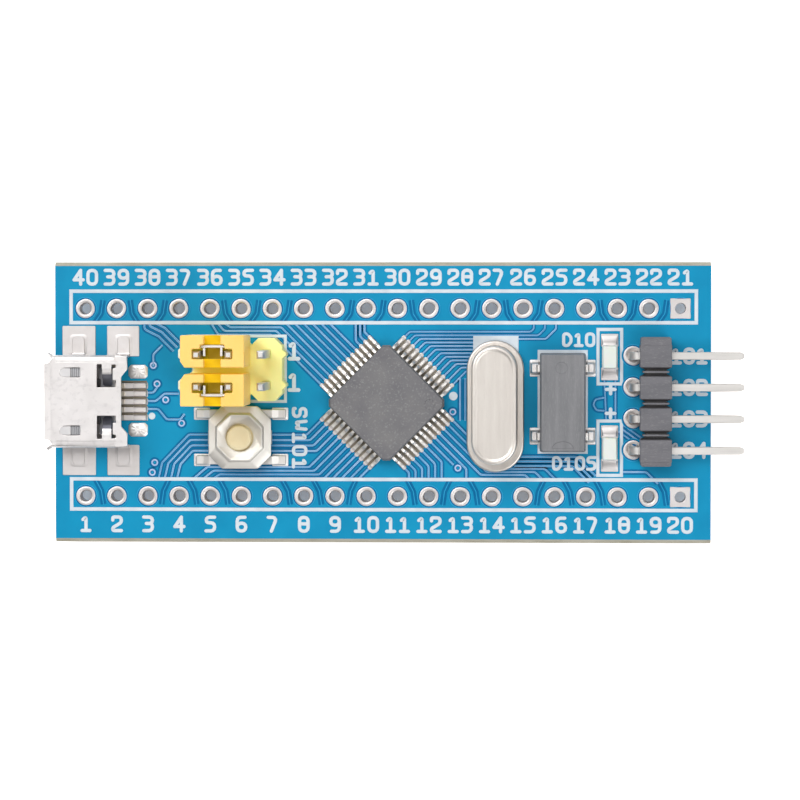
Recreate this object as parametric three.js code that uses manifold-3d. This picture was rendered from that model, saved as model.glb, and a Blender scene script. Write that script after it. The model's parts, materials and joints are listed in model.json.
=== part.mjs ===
// Microcontroller dev board, millimetres, +Z up.
//
// X runs along the board from the USB socket (-X) to the debug header (+X), Y across it, and the
// parts that are seen from above stand on its +Z face. Pieces are drawn from the middle of the
// board's upper face (top side) or lower face (underside); the whole group is then moved so that
// its origin lies under the middle of its bounding box, at the level of the pin tails.

import * as THREE from "three";
import { mergeVertices } from "three/addons/utils/BufferGeometryUtils.js";
import Module from "manifold-3d";

const wasm = await Module();
wasm.setup();

// ---------------------------------------------------------------- driving dimensions

const PITCH = 2.54;
const PIN = 0.64; // side of every square pin
const SEAT = 0.04; // pad and solder under a surface-mounted foot
const FIT = 0.02; // clearance of a piece that sits in another

const BOARD = { length: 53.2, width: 22.75, thick: 1.6, hole: 1.0, score: 0.3 };
const ROW = { pins: 20, y: 3 * PITCH };
const TAIL = 1.4; // how far pins stand out below the board

const USB = {
  x0: -26.5,
  x1: -20.9,
  y: 0.13,
  halfWidth: 3.72,
  halfFloor: 2.9,
  waist: 1.2,
  top: 2.72,
  sheet: 0.28,
  lip: 0.6,
  lipHalf: 3.05,
  legX: [-24.7, -21.02],
  legWidth: 1.0,
  legReach: 5.14,
  lipRise: 0.2,
  flare: { back: 0.2, out: 0.35, short: 0.35, long: 0.5, lower: 0.3, upper: 0.4 },
  latch: { x0: -25.95, x1: -24.21, y: 2.34, width: 0.8 },
  finger: { x0: -22.87, x1: -21.33, inner: 1.15, outer: 3.0, slit: 0.34, rearSlit: 0.2 },
  rear: { out: 0.5, inner: 2.0, outer: 2.6 },
  tab: { inner: 1.8, outer: 2.75, out: 1.6 },
};
const INSULATOR = { x0: -22.8, x1: -21.3, half: 2.7, tip: -26.0, tongueHalf: 1.85, tongueThick: 0.6 };
const CONTACT = {
  count: 5, pitch: 0.65, width: 0.4, thick: 0.15, run: 1.2, tip: -25.7, bend: -21.3, heel: -20.6, foot: -19.2,
};

const BOOT = { x: -11.72, y: 2.71, columns: 3, rows: 2, tall: 2.54, pinTop: 8.54, corner: 0.62 };
const NUB = { long: 0.3, left: 1.3, right: 0.4, inset: 0.3, notch: 0.5 };
const CAP = {
  length: 5.05, width: 2.54, tall: 5.9, shift: 0.26, groove: 1.34, grooveDeep: 0.9, cutX: 0.3, cutY: 0.5,
};
const WELL = { half: 1.62, front: -0.36, back: 0.46, niche: 0.98, nicheBack: 0.8 }; // slot through a cap
const CLIP = { bar: 0.93, arm: 0.76, sheet: 0.22, back: 0.76, front: -0.1, z0: 0.9, z1: 5.2 };
const BULGE = { reach: 0.92, z0: 1.4, z1: 2.1, z2: 2.7, z3: 3.4, half: 0.4 };

const SWITCH = { x: -11.45, y: -2.8, side: 5.06, corner: 1.05, tall: 1.1, floor: 0.5, chamber: 1.75 };
const COVER = { sheet: 0.2, raised: 3.75, raisedCorner: 1.05, lift: 0.25, hole: 1.12 };
const PLUNGER = { radius: 1.0, flange: 1.5, thick: 0.2, nib: 0.6, z0: 0.87, z1: 2.15, chamfer: 0.1 };
const DOME = { radius: 1.65, rise: 0.33, sheet: 0.08 };
const TERMINAL = { y: 1.88, width: 0.7, thick: 0.15, reach: 3.6, raise: 0.2, toe: 0.4, heel: 0.1 };

const MCU = { x: 0.41, y: 0, side: 7, corner: 0.38, z0: 0.1, z1: 1.55 };
const LEAD = {
  perSide: 12, pitch: 0.5, width: 0.22, thick: 0.15, tip: 4.5, level: 0.72, knee: 0.22, slope: 0.16,
  lag: 0.12,
};
const FRAME = { inner: 2.6, outer: 3.0, core: 2.55 };

const CRYSTAL = {
  x: 9.2, y: -0.28, width: 4.63, length: 10.67, lift: 0.1, plate: 0.45, tall: 3.5, wall: 0.22,
};
const CAN = { width: 3.62, length: 9.5, x: -0.06, y: 0.14 };
const CRYSTAL_LEAD = { radius: 0.215, spread: 2.44, top: 1.3, hole: 0.4, tail: 1.0 };
const BLANK = { x: 0.26, thick: 0.12, half: 3.6, z0: 0.9, z1: 2.9 };

const WATCH = { x: 14.64, y: 0.05, width: 3.7, length: 7.98, tall: 2.45, corner: 0.2, draft: 0.12 };
const WATCH_LEAD = { y: 2.75, width: 0.62, thick: 0.15, out: 0.62, wall: 0.28, level: 1.0 };

const LED = {
  x: 18.43, ys: [3.7, -3.7], width: 1.25, length: 2.0, base: 0.35, notch: 0.12, lens: 0.8, lensWidth: 1.19,
  lensLength: 1.32, lensCorner: 0.1, draft: 0.08,
};

const DEBUG = {
  x: 20.32, pins: 4, back: 20.83, tall: 2.54, axis: 1.27, reach: 29.18, notch: 0.3, bend: 0.12, slant: 0.3,
};

const REGULATOR = { x: -18.6, y: 0, width: 1.6, length: 2.9, z0: 0.08, z1: 1.12, pitch: 0.95 };
const REGULATOR_LEAD = {
  width: 0.4, thick: 0.15, tip: 1.4, level: 0.52, inner: 0.3, ring: 0.2, knee: 0.15, slope: 0.12, lag: 0.1,
};

// Underside resistors and capacitors: name, x, y, turned a quarter or not, height.
const CHIP = { length: 1.6, width: 0.8, end: 0.3, waist: 0.03 };
const CAPACITOR_TALL = 0.8;
const RESISTOR_TALL = 0.45;
const CHIPS = [
  ["regulator_input_capacitor", -21.6, 3.4, false, CAPACITOR_TALL],
  ["regulator_output_capacitor", -21.6, -3.4, false, CAPACITOR_TALL],
  ["usb_series_resistor_1", -15.6, -2.4, false, RESISTOR_TALL],
  ["usb_series_resistor_2", -15.6, -4.2, false, RESISTOR_TALL],
  ["usb_pullup_resistor", -11.6, -3.3, true, RESISTOR_TALL],
  ["boot_resistor_1", -6.4, 3.6, true, RESISTOR_TALL],
  ["boot_resistor_2", -6.4, 0.4, true, RESISTOR_TALL],
  ["mcu_decoupling_capacitor_1", -2.6, -3.4, true, CAPACITOR_TALL],
  ["mcu_decoupling_capacitor_2", 3.2, 3.6, true, CAPACITOR_TALL],
  ["mcu_decoupling_capacitor_3", 0.4, -0.4, false, CAPACITOR_TALL],
  ["crystal_load_capacitor_1", 6.4, 2.14, false, CAPACITOR_TALL],
  ["crystal_load_capacitor_2", 6.4, -2.74, false, CAPACITOR_TALL],
];

// ---------------------------------------------------------------- finishes

const FINISH = {
  mask: { color: 0x0592bb, roughness: 0.35, metalness: 0.0 },
  steel: { color: 0xd6d5d2, roughness: 0.3, metalness: 1.0 },
  tin: { color: 0xdedbd4, roughness: 0.28, metalness: 1.0 },
  bronze: { color: 0xd8cfb8, roughness: 0.3, metalness: 1.0 },
  gold: { color: 0xd9b25a, roughness: 0.25, metalness: 1.0 },
  lemon: { color: 0xefe98a, roughness: 0.45, metalness: 0.0 },
  amber: { color: 0xfcc95a, roughness: 0.4, metalness: 0.0 },
  nylon: { color: 0xe8e2cf, roughness: 0.5, metalness: 0.0 },
  cream: { color: 0xe6d9b0, roughness: 0.4, metalness: 0.0 },
  epoxy: { color: 0x4b4c50, roughness: 0.7, metalness: 0.0 },
  black: { color: 0x2d2e31, roughness: 0.55, metalness: 0.0 },
  quartz: { color: 0xe9eef0, roughness: 0.1, metalness: 0.0 },
  lens: { color: 0xf2f0e8, roughness: 0.15, metalness: 0.0 },
  ceramic: { color: 0xb79a74, roughness: 0.5, metalness: 0.0 },
  resistor: { color: 0x2b2b2e, roughness: 0.4, metalness: 0.0 },
};

// ---------------------------------------------------------------- outlines

/** Corners of an axis-aligned rectangle. */
function rectangle(a0, a1, b0, b1) {
  return [[a0, b0], [a1, b0], [a1, b1], [a0, b1]];
}

/** A regular polygon round a point. */
function circle(a, b, radius, sides) {
  return Array.from({ length: sides }, (_, i) => {
    const angle = (2 * Math.PI * (i + 0.5)) / sides;
    return [a + radius * Math.cos(angle), b + radius * Math.sin(angle)];
  });
}

/** A rectangle about the origin with its corners cut at 45 degrees. */
function octagon(width, length, corner) {
  const a = width / 2;
  const b = length / 2;
  const c = corner;
  return [
    [a - c, -b], [a, c - b], [a, b - c], [a - c, b], [c - a, b], [-a, b - c], [-a, c - b], [c - a, -b],
  ];
}

/** A long oval along Y: a rectangle with half-round ends. */
function oval(width, length, sides) {
  const radius = width / 2;
  const middle = length / 2 - radius;
  return Array.from({ length: 2 * sides + 2 }, (_, i) => {
    const lower = i > sides;
    const angle = (Math.PI * (lower ? i - 1 : i)) / sides;
    return [radius * Math.cos(angle), radius * Math.sin(angle) + (lower ? -middle : middle)];
  });
}

/** The same outline on the other side of the first axis when side is negative. */
function mirrorB(side, outline) {
  return side > 0 ? outline : outline.map(([a, b]) => [a, -b]).reverse();
}

/** A strip of even thickness that follows a path lying in a plane. */
function strip(path, thick) {
  const upper = path.map(([a, b]) => [a, b + thick]);
  return [...path, ...upper.reverse()];
}

// ---------------------------------------------------------------- solids

const TO_X = new THREE.Matrix4().set(0, 0, 1, 0, 1, 0, 0, 0, 0, 1, 0, 0, 0, 0, 0, 1);
const TO_Y = new THREE.Matrix4().set(1, 0, 0, 0, 0, 0, -1, 0, 0, 1, 0, 0, 0, 0, 0, 1);

const vectors = (points) => points.map(([a, b]) => new THREE.Vector2(a, b));

/** An outline, with holes, drawn out along one axis between two places on it. */
function extrude(axis, outline, from, to, holes = []) {
  const shape = new THREE.Shape(vectors(outline));
  shape.holes = holes.map((hole) => new THREE.Path(vectors(hole)));
  const geometry = new THREE.ExtrudeGeometry(shape, { depth: to - from, bevelEnabled: false });
  if (axis === "x") {
    return geometry.applyMatrix4(TO_X).translate(from, 0, 0); // outline in Y, Z
  }
  if (axis === "y") {
    return geometry.applyMatrix4(TO_Y).translate(0, to, 0); // outline in X, Z
  }
  return geometry.translate(0, 0, from); // outline in X, Y
}

const box = (x0, x1, y0, y1, z0, z1) => extrude("z", rectangle(x0, x1, y0, y1), z0, z1);

/** The same outline narrowed towards its top, as a moulding with draft. */
function drafted(outline, z0, z1, draft) {
  const geometry = extrude("z", outline, z0, z1);
  const position = geometry.attributes.position;
  for (let i = 0; i < position.count; i += 1) {
    if (position.getZ(i) > (z0 + z1) / 2) {
      position.setX(i, position.getX(i) - Math.sign(position.getX(i)) * draft);
      position.setY(i, position.getY(i) - Math.sign(position.getY(i)) * draft);
    }
  }
  return geometry;
}

function toManifold(geometry) {
  const bare = geometry.clone();
  bare.deleteAttribute("normal");
  bare.deleteAttribute("uv");
  const merged = mergeVertices(bare, 1e-4);
  const vertProperties = new Float32Array(merged.attributes.position.array);
  const triVerts = new Uint32Array(merged.index.array);
  return new wasm.Manifold(new wasm.Mesh({ numProp: 3, vertProperties, triVerts }));
}

function fromManifold(manifold) {
  const mesh = manifold.getMesh();
  const geometry = new THREE.BufferGeometry();
  geometry.setAttribute("position", new THREE.BufferAttribute(mesh.vertProperties, 3));
  geometry.setIndex(new THREE.BufferAttribute(mesh.triVerts, 1));
  geometry.computeVertexNormals();
  return geometry;
}

/** One solid from several that overlap. */
function join(...geometries) {
  return fromManifold(geometries.map(toManifold).reduce((a, b) => a.add(b)));
}

/** The first solid without the others. */
function cut(geometry, ...tools) {
  return fromManifold(tools.map(toManifold).reduce((a, b) => a.subtract(b), toManifold(geometry)));
}

/** Adds one named piece, with a material of its own, to a group. */
function piece(parent, name, finish, geometry) {
  const mesh = new THREE.Mesh(geometry, new THREE.MeshStandardMaterial(FINISH[finish]));
  mesh.name = name;
  parent.add(mesh);
  return mesh;
}

// ---------------------------------------------------------------- circuit board

const bootColumns = Array.from({ length: BOOT.columns }, (_, i) => (i - 1) * PITCH);
const bootRows = [PITCH / 2, -PITCH / 2];
const debugRows = Array.from({ length: DEBUG.pins }, (_, i) => ((DEBUG.pins - 1) / 2 - i) * PITCH);

function circuitBoard(group) {
  const { length, width, thick, score } = BOARD;
  const drill = (x, y, diameter = BOARD.hole) => circle(x, y, diameter / 2, 12);
  const holes = [];
  for (let i = 0; i < ROW.pins; i += 1) {
    const x = (i - (ROW.pins - 1) / 2) * PITCH;
    holes.push(drill(x, ROW.y), drill(x, -ROW.y));
  }
  for (const y of debugRows) {
    holes.push(drill(DEBUG.x, y));
  }
  for (const x of bootColumns) {
    holes.push(...bootRows.map((y) => drill(BOOT.x + x, BOOT.y + y)));
  }
  for (const side of [1, -1]) {
    holes.push(drill(CRYSTAL.x, CRYSTAL.y + side * CRYSTAL_LEAD.spread, 2 * CRYSTAL_LEAD.hole));
  }
  const slab = extrude("z", rectangle(-length / 2, length / 2, -width / 2, width / 2), -thick, 0, holes);
  // Scored edges: both long edges are snapped from a panel along a V groove on each face.
  const grooves = [];
  for (const side of [1, -1]) {
    for (const [face, inward] of [[0, -1], [-thick, 1]]) {
      const edge = (side * width) / 2;
      const wedge = [
        [edge - side * score, face], [edge, face + inward * score], [edge + side, face + inward * score],
        [edge + side, face - inward], [edge - side * score, face - inward],
      ];
      const turned = side * inward > 0 ? wedge.reverse() : wedge;
      grooves.push(extrude("x", turned, -length / 2 - 1, length / 2 + 1));
    }
  }
  piece(group, "circuit_board", "mask", cut(slab, ...grooves));
}

// ---------------------------------------------------------------- micro-USB socket

/** Cross-section of the socket, wide side up, taken in from the outside by an even inset. */
function usbSection(inset) {
  const side = USB.halfWidth - inset;
  const floor = USB.halfFloor - inset * 0.6;
  return [
    [-floor, SEAT + inset], [floor, SEAT + inset], [side, USB.waist + inset * 0.3],
    [side, USB.top - inset], [-side, USB.top - inset], [-side, USB.waist + inset * 0.3],
  ];
}

function usbShell(group) {
  const { x0, x1, sheet, top, halfWidth, latch, finger, rear } = USB;
  const sides = [1, -1];
  const solids = [extrude("x", usbSection(0), x0, x1, [usbSection(sheet)])];
  // Guide lip over the mouth, and small flares beside it.
  const lip = strip([[x0 - USB.lip, top - sheet + USB.lipRise], [x0 + FIT, top - sheet]], sheet);
  solids.push(extrude("y", lip, -USB.lipHalf, USB.lipHalf));
  const inside = halfWidth - sheet;
  const overlap = 0.1; // how far added sheet runs into the tube
  for (const side of sides) {
    const { back, out, short, long, lower, upper } = USB.flare;
    const flare = mirrorB(side, [
      [x0 - long, inside + out], [x0 - short, halfWidth + out], [x0 + back, halfWidth], [x0 + back, inside],
    ]);
    solids.push(extrude("z", flare, USB.waist + lower, top - upper));
    // Rear of the roof runs on at both sides of a shallow notch.
    const roof = mirrorB(side, [
      [x1 - overlap, rear.inner], [x1 + rear.out, rear.outer], [x1 + rear.out, halfWidth],
      [x1 - overlap, halfWidth],
    ]);
    solids.push(extrude("z", roof, top - sheet, top));
    // Two legs on each side, bent down the wall and out over their pads.
    for (const x of USB.legX) {
      const leg = [
        [inside, SEAT], [USB.legReach, SEAT], [USB.legReach, SEAT + sheet], [halfWidth, SEAT + sheet],
        [halfWidth, USB.waist + 0.5], [inside, USB.waist + 0.5],
      ].map(([y, z]) => [side * y, z]);
      const turned = side > 0 ? leg : leg.reverse();
      solids.push(extrude("x", turned, x - USB.legWidth / 2, x + USB.legWidth / 2));
    }
    // Rear tabs of the floor, soldered beside the contacts.
    const tab = mirrorB(side, rectangle(x1 - overlap, x1 + USB.tab.out, USB.tab.inner, USB.tab.outer));
    solids.push(extrude("z", tab, SEAT, SEAT + sheet));
  }
  // Slots through the roof: a latch slot near the mouth, and three slits that free a spring finger
  // which stays rooted along its outer edge.
  const { inner, outer, slit, rearSlit } = finger;
  const slots = [
    rectangle(latch.x0, latch.x1, latch.y - latch.width / 2, latch.y + latch.width / 2),
    rectangle(finger.x0, finger.x0 + slit, inner, outer),
    rectangle(finger.x0 + slit / 2, finger.x1, inner, inner + slit),
    rectangle(finger.x1 - rearSlit, finger.x1, inner + slit / 2, outer),
  ];
  const openings = sides.flatMap((side) => {
    return slots.map((slot) => extrude("z", mirrorB(side, slot), top - 1, top + 1));
  });
  piece(group, "usb_shell", "steel", cut(join(...solids), ...openings));
}

const contactYs = Array.from({ length: CONTACT.count }, (_, i) => (2 - i) * CONTACT.pitch);

function usbInsulator(group) {
  const { run, thick, width } = CONTACT;
  const { x0, x1, half, tip, tongueHalf, tongueThick } = INSULATOR;
  const level = run + thick;
  const block = box(x0, x1, -half, half, USB.sheet + SEAT + FIT, USB.top - USB.sheet - FIT);
  const tongue = box(tip, x0 + FIT, -tongueHalf, tongueHalf, level, level + tongueThick);
  const slots = contactYs.map((y) => {
    return box(x0 - 1, x1 + 1, y - width / 2 - FIT, y + width / 2 + FIT, 0, level + FIT);
  });
  piece(group, "usb_insulator", "nylon", cut(join(block, tongue), ...slots));
}

function usbContacts(group) {
  const { run, thick, width, tip, bend, heel, foot } = CONTACT;
  const path = [[tip, run - FIT], [bend, run - FIT], [heel, SEAT], [foot, SEAT]];
  contactYs.forEach((y, i) => {
    const wire = extrude("y", strip(path, thick), y - width / 2, y + width / 2);
    piece(group, `usb_contact_${i + 1}`, "gold", wire);
  });
}

// ---------------------------------------------------------------- boot header and its jumpers

/** A straight square pin with pointed ends. */
function pin(x, y, z0, z1) {
  const point = 0.4;
  const across = PIN / Math.SQRT2;
  const profile = [
    [0, z0], [PIN / 3, z0], [across, z0 + point], [across, z1 - point], [PIN / 3, z1], [0, z1],
  ];
  const turned = new THREE.LatheGeometry(vectors(profile), 4, Math.PI / 4);
  return turned.rotateX(Math.PI / 2).translate(x, y, 0);
}

function bootHeader(group) {
  const reach = (BOOT.columns * PITCH) / 2;
  const { long, left, right, inset, notch } = NUB;
  const cells = bootColumns.map((x) => {
    const cell = octagon(PITCH + FIT, BOOT.rows * PITCH, BOOT.corner);
    return extrude("z", cell, 0, BOOT.tall).translate(x, 0, 0);
  });
  // Snapped-off webs stand out of each end, wide on the left and narrow on the right.
  const webs = bootRows.flatMap((y) => {
    const web = (x0, x1, wide) => box(x0, x1, y - wide / 2, y + wide / 2, inset, BOOT.tall - inset);
    return [web(-reach - long, 1 - reach, left), web(reach - 1, reach + long, right)];
  });
  const wells = bootColumns.flatMap((x) => {
    const half = PIN / 2 + FIT;
    return bootRows.map((y) => box(x - half, x + half, y - half, y + half, -1, BOOT.tall + 1));
  });
  const vee = [[-reach - notch, -2 * notch], [notch - reach, 0], [-reach - notch, 2 * notch]];
  wells.push(extrude("z", vee, -1, BOOT.tall + 1));
  piece(group, "boot_header_housing", "lemon", cut(join(...cells, ...webs), ...wells));
  let number = 1;
  for (const y of bootRows) {
    for (const x of bootColumns) {
      piece(group, `boot_pin_${number}`, "tin", pin(x, y, -BOARD.thick - TAIL, BOOT.pinTop));
      number += 1;
    }
  }
}

/** Cap and spring clip that bridge the left and middle pins of one row; the two rows mirror. */
function jumper(group, name, rowY, side) {
  const holder = new THREE.Group();
  holder.position.set((bootColumns[0] + bootColumns[1]) / 2, rowY, BOOT.tall);
  group.add(holder);
  const a = CAP.length / 2;
  const y0 = CAP.shift - CAP.width / 2;
  const y1 = CAP.shift + CAP.width / 2;
  const outline = [[CAP.cutX - a, y0], [a, y0], [a, y1], [-a, y1], [-a, y0 + CAP.cutY]];
  const { half, front, back, niche, nicheBack } = WELL;
  const well = [
    [-half, front], [half, front], [half, back], [niche, back], [niche, nicheBack], [-niche, nicheBack],
    [-niche, back], [-half, back],
  ];
  const block = extrude("z", mirrorB(side, outline), FIT, CAP.tall, [mirrorB(side, well)]);
  const over = CAP.width;
  const groove = box(-CAP.groove / 2, CAP.groove / 2, -over, over, CAP.tall - CAP.grooveDeep, CAP.tall + 1);
  piece(holder, `boot_jumper_cap_${name}`, "amber", cut(block, groove));
  // The clip is a strip folded to a channel: a back bar, and two arms that bulge against the pins.
  const { bar, arm, sheet, z0, z1 } = CLIP;
  const fold = CLIP.back - sheet;
  const bent = [
    [-arm, CLIP.front], [sheet - arm, CLIP.front], [sheet - arm, fold], [arm - sheet, fold],
    [arm - sheet, CLIP.front], [arm, CLIP.front], [arm, fold], [bar, fold], [bar, CLIP.back],
    [-bar, CLIP.back], [-bar, fold], [-arm, fold],
  ];
  const strips = [extrude("z", mirrorB(side, bent), z0, z1)];
  const root = arm - sheet / 2;
  const bump = [[root, BULGE.z0], [BULGE.reach, BULGE.z1], [BULGE.reach, BULGE.z2], [root, BULGE.z3]];
  const [ya, yb] = side > 0 ? [CLIP.front, BULGE.half] : [-BULGE.half, -CLIP.front];
  strips.push(extrude("y", bump, ya, yb));
  strips.push(extrude("y", bump.map(([x, z]) => [-x, z]).reverse(), ya, yb));
  piece(holder, `boot_jumper_clip_${name}`, "bronze", join(...strips));
}

// ---------------------------------------------------------------- reset switch

function resetSwitch(group) {
  const { side, corner, tall, floor } = SWITCH;
  const within = side - 0.1;
  const base = extrude("z", octagon(within, within, corner), 0, tall);
  const chamber = extrude("z", circle(0, 0, SWITCH.chamber, 24), floor, tall + 1);
  const channels = [1, -1].map((s) => {
    const half = TERMINAL.width / 2 + FIT;
    const y = s * TERMINAL.y;
    return box(-side, side, y - half, y + half, -1, TERMINAL.raise + TERMINAL.thick + FIT);
  });
  piece(group, "reset_switch_base", "black", cut(base, chamber, ...channels));

  const sheetTop = tall + COVER.sheet;
  const raised = octagon(COVER.raised, COVER.raised, COVER.raisedCorner);
  const room = COVER.raised - 2 * COVER.sheet;
  const hollow = octagon(room, room, COVER.raisedCorner - COVER.sheet / 2);
  const plate = join(
    extrude("z", octagon(side, side, corner), tall, sheetTop),
    extrude("z", raised, tall, sheetTop + COVER.lift),
  );
  const cover = cut(
    plate,
    extrude("z", hollow, tall - 1, tall + COVER.lift),
    extrude("z", circle(0, 0, COVER.hole, 24), tall - 1, tall + 1),
  );
  piece(group, "reset_switch_cover", "steel", cover);

  const { radius, flange, thick: flangeThick, nib, z0, z1, chamfer } = PLUNGER;
  const under = tall + COVER.lift - FIT;
  const profile = [
    [0, z0], [nib, z0], [nib, under - flangeThick], [flange, under - flangeThick], [flange, under],
    [radius, under], [radius, z1 - chamfer], [radius - chamfer, z1], [0, z1],
  ];
  const plunger = new THREE.LatheGeometry(vectors(profile), 24).rotateX(Math.PI / 2);
  piece(group, "reset_switch_plunger", "cream", plunger);

  const rings = 4;
  const bow = (extra) => Array.from({ length: rings + 1 }, (_, i) => {
    const r = (DOME.radius * i) / rings;
    const rise = DOME.rise - DOME.sheet;
    return [r, floor + rise * (1 - (r / DOME.radius) ** 2) + extra];
  });
  const domeProfile = [...bow(0), ...bow(DOME.sheet).reverse()];
  const dome = new THREE.LatheGeometry(vectors(domeProfile), 20).rotateX(Math.PI / 2);
  piece(group, "reset_switch_dome", "steel", dome);

  const { reach, raise, thick, width, toe, heel } = TERMINAL;
  const out = side / 2;
  const path = [
    [-reach, SEAT], [-out - toe, SEAT], [heel - out, raise], [out - heel, raise], [out + toe, SEAT],
    [reach, SEAT],
  ];
  for (const [name, s] of [["upper", 1], ["lower", -1]]) {
    const y = s * TERMINAL.y;
    const foot = extrude("y", strip(path, thick), y - width / 2, y + width / 2);
    piece(group, `reset_switch_terminal_${name}`, "tin", foot);
  }
}

// ---------------------------------------------------------------- microcontroller

function microcontroller(group) {
  const { side, corner, z0, z1 } = MCU;
  const { core, inner, outer } = FRAME;
  const { thick, level, width, tip, lag } = LEAD;
  const body = extrude("z", octagon(side, side, corner), z0, z1);
  const ring = (half) => rectangle(-half, half, -half, half);
  const gap = extrude("z", ring(side), level - FIT, level + thick + FIT, [ring(core).reverse()]);
  piece(group, "mcu_package", "epoxy", cut(body, gap));
  // Each lead leaves the moulding level, falls to the board and ends in a flat foot.
  const knee = side / 2 + LEAD.knee;
  const heel = knee + LEAD.slope;
  const root = (inner + outer) / 2;
  const profile = [
    [root, level], [knee, level], [heel, SEAT], [tip, SEAT],
    [tip, SEAT + thick], [heel + lag, SEAT + thick], [knee + lag, level + thick], [root, level + thick],
  ];
  const leads = [extrude("z", ring(outer), level, level + thick, [ring(inner).reverse()])];
  for (let quarter = 0; quarter < 4; quarter += 1) {
    for (let i = 0; i < LEAD.perSide; i += 1) {
      const y = (i - (LEAD.perSide - 1) / 2) * LEAD.pitch;
      leads.push(extrude("y", profile, y - width / 2, y + width / 2).rotateZ((quarter * Math.PI) / 2));
    }
  }
  piece(group, "mcu_leads", "tin", join(...leads));
}

// ---------------------------------------------------------------- crystals

function crystal(group) {
  const { width, length, lift, plate, tall, wall } = CRYSTAL;
  const { radius, spread, top, tail } = CRYSTAL_LEAD;
  const ends = [1, -1];
  const seals = ends.map((s) => circle(0, s * spread, radius + FIT, 10));
  piece(group, "crystal_base", "steel", extrude("z", oval(width, length, 10), lift, lift + plate, seals));
  const outer = extrude("z", oval(CAN.width, CAN.length, 10), lift + plate, tall);
  const inner = extrude("z", oval(CAN.width - 2 * wall, CAN.length - 2 * wall, 10), 0, tall - wall);
  const can = piece(group, "crystal_can", "steel", cut(outer, inner));
  can.position.set(CAN.x, CAN.y, 0); // welded a little off the middle of its base
  ends.forEach((s, i) => {
    const lead = extrude("z", circle(0, s * spread, radius, 10), -BOARD.thick - tail, top);
    piece(group, `crystal_lead_${i + 1}`, "tin", lead);
  });
  const blank = box(BLANK.x, BLANK.x + BLANK.thick, -BLANK.half, BLANK.half, BLANK.z0, BLANK.z1);
  piece(group, "crystal_quartz_blank", "quartz", blank);
}

function watchCrystal(group) {
  const { width, length, tall, corner, draft } = WATCH;
  piece(group, "watch_crystal_body", "epoxy", drafted(octagon(width, length, corner), SEAT, tall, draft));
  const { thick, out, wall, level } = WATCH_LEAD;
  let number = 1;
  for (const sideX of [-1, 1]) {
    for (const sideY of [1, -1]) {
      const face = width / 2;
      const path = [
        [face, SEAT], [face + out, SEAT], [face + out, SEAT + thick], [face + wall, SEAT + thick],
        [face + wall, level], [face, level],
      ];
      const foot = sideX > 0 ? path : path.map(([a, b]) => [-a, b]).reverse();
      const y = sideY * WATCH_LEAD.y;
      const half = WATCH_LEAD.width / 2;
      piece(group, `watch_crystal_lead_${number}`, "tin", extrude("y", foot, y - half, y + half));
      number += 1;
    }
  }
}

// ---------------------------------------------------------------- lamps

function lamp(group, name) {
  const { width, length, base, notch, lensWidth, lensLength, lensCorner } = LED;
  const a = width / 2;
  const b = length / 2;
  // Each end is notched where the plated terminal wraps round it.
  const outline = [
    [-a, -b], [-notch * 2, -b], [-notch, notch - b], [notch, notch - b], [notch * 2, -b], [a, -b],
    [a, b], [notch * 2, b], [notch, b - notch], [-notch, b - notch], [-notch * 2, b], [-a, b],
  ];
  piece(group, `${name}_base`, "nylon", extrude("z", outline, SEAT, SEAT + base));
  const moulding = octagon(lensWidth, lensLength, lensCorner);
  piece(group, `${name}_lens`, "lens", drafted(moulding, SEAT + base, LED.lens, LED.draft));
}

// ---------------------------------------------------------------- debug header

function debugHeader(group) {
  const { x, back, tall, axis, reach, notch, pins } = DEBUG;
  const half = (pins * PITCH) / 2;
  const front = back + PITCH;
  // Seen from above, a V notch parts each position from the next on both long sides.
  const outline = [[back, -half]];
  const side = (at, into, from) => {
    for (let i = 1; i < pins; i += 1) {
      const y = from * (half - i * PITCH);
      outline.push([at, y + from * notch], [at + into, y], [at, y - from * notch]);
    }
  };
  outline.push([front, -half]);
  side(front, -notch, -1);
  outline.push([front, half], [back, half]);
  side(back, notch, 1);
  const bar = extrude("z", outline, 0, tall);
  const room = PIN / 2 + FIT;
  const wells = debugRows.map((y) => box(back - 1, front + 1, y - room, y + room, axis - room, axis + room));
  piece(group, "debug_header_housing", "black", cut(bar, ...wells));
  // Each pin turns from its hole to the level row in a short round bend.
  const p = PIN / 2;
  const { bend, slant } = DEBUG;
  const tail = -BOARD.thick - TAIL;
  const cx = x + p + bend;
  const cz = axis - p - bend;
  const arc = (radius) => [0, 1, 2, 3].map((i) => {
    const angle = Math.PI - (i * Math.PI) / 6;
    return [cx + radius * Math.cos(angle), cz + radius * Math.sin(angle)];
  });
  const profile = [
    [x - p, tail], ...arc(bend + PIN), [reach, axis + p], [reach, axis - p], ...arc(bend).reverse(),
    [x + p, tail + slant],
  ];
  debugRows.forEach((y, i) => {
    piece(group, `debug_pin_${i + 1}`, "tin", extrude("y", profile.slice().reverse(), y - p, y + p));
  });
}

// ---------------------------------------------------------------- underside

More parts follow.
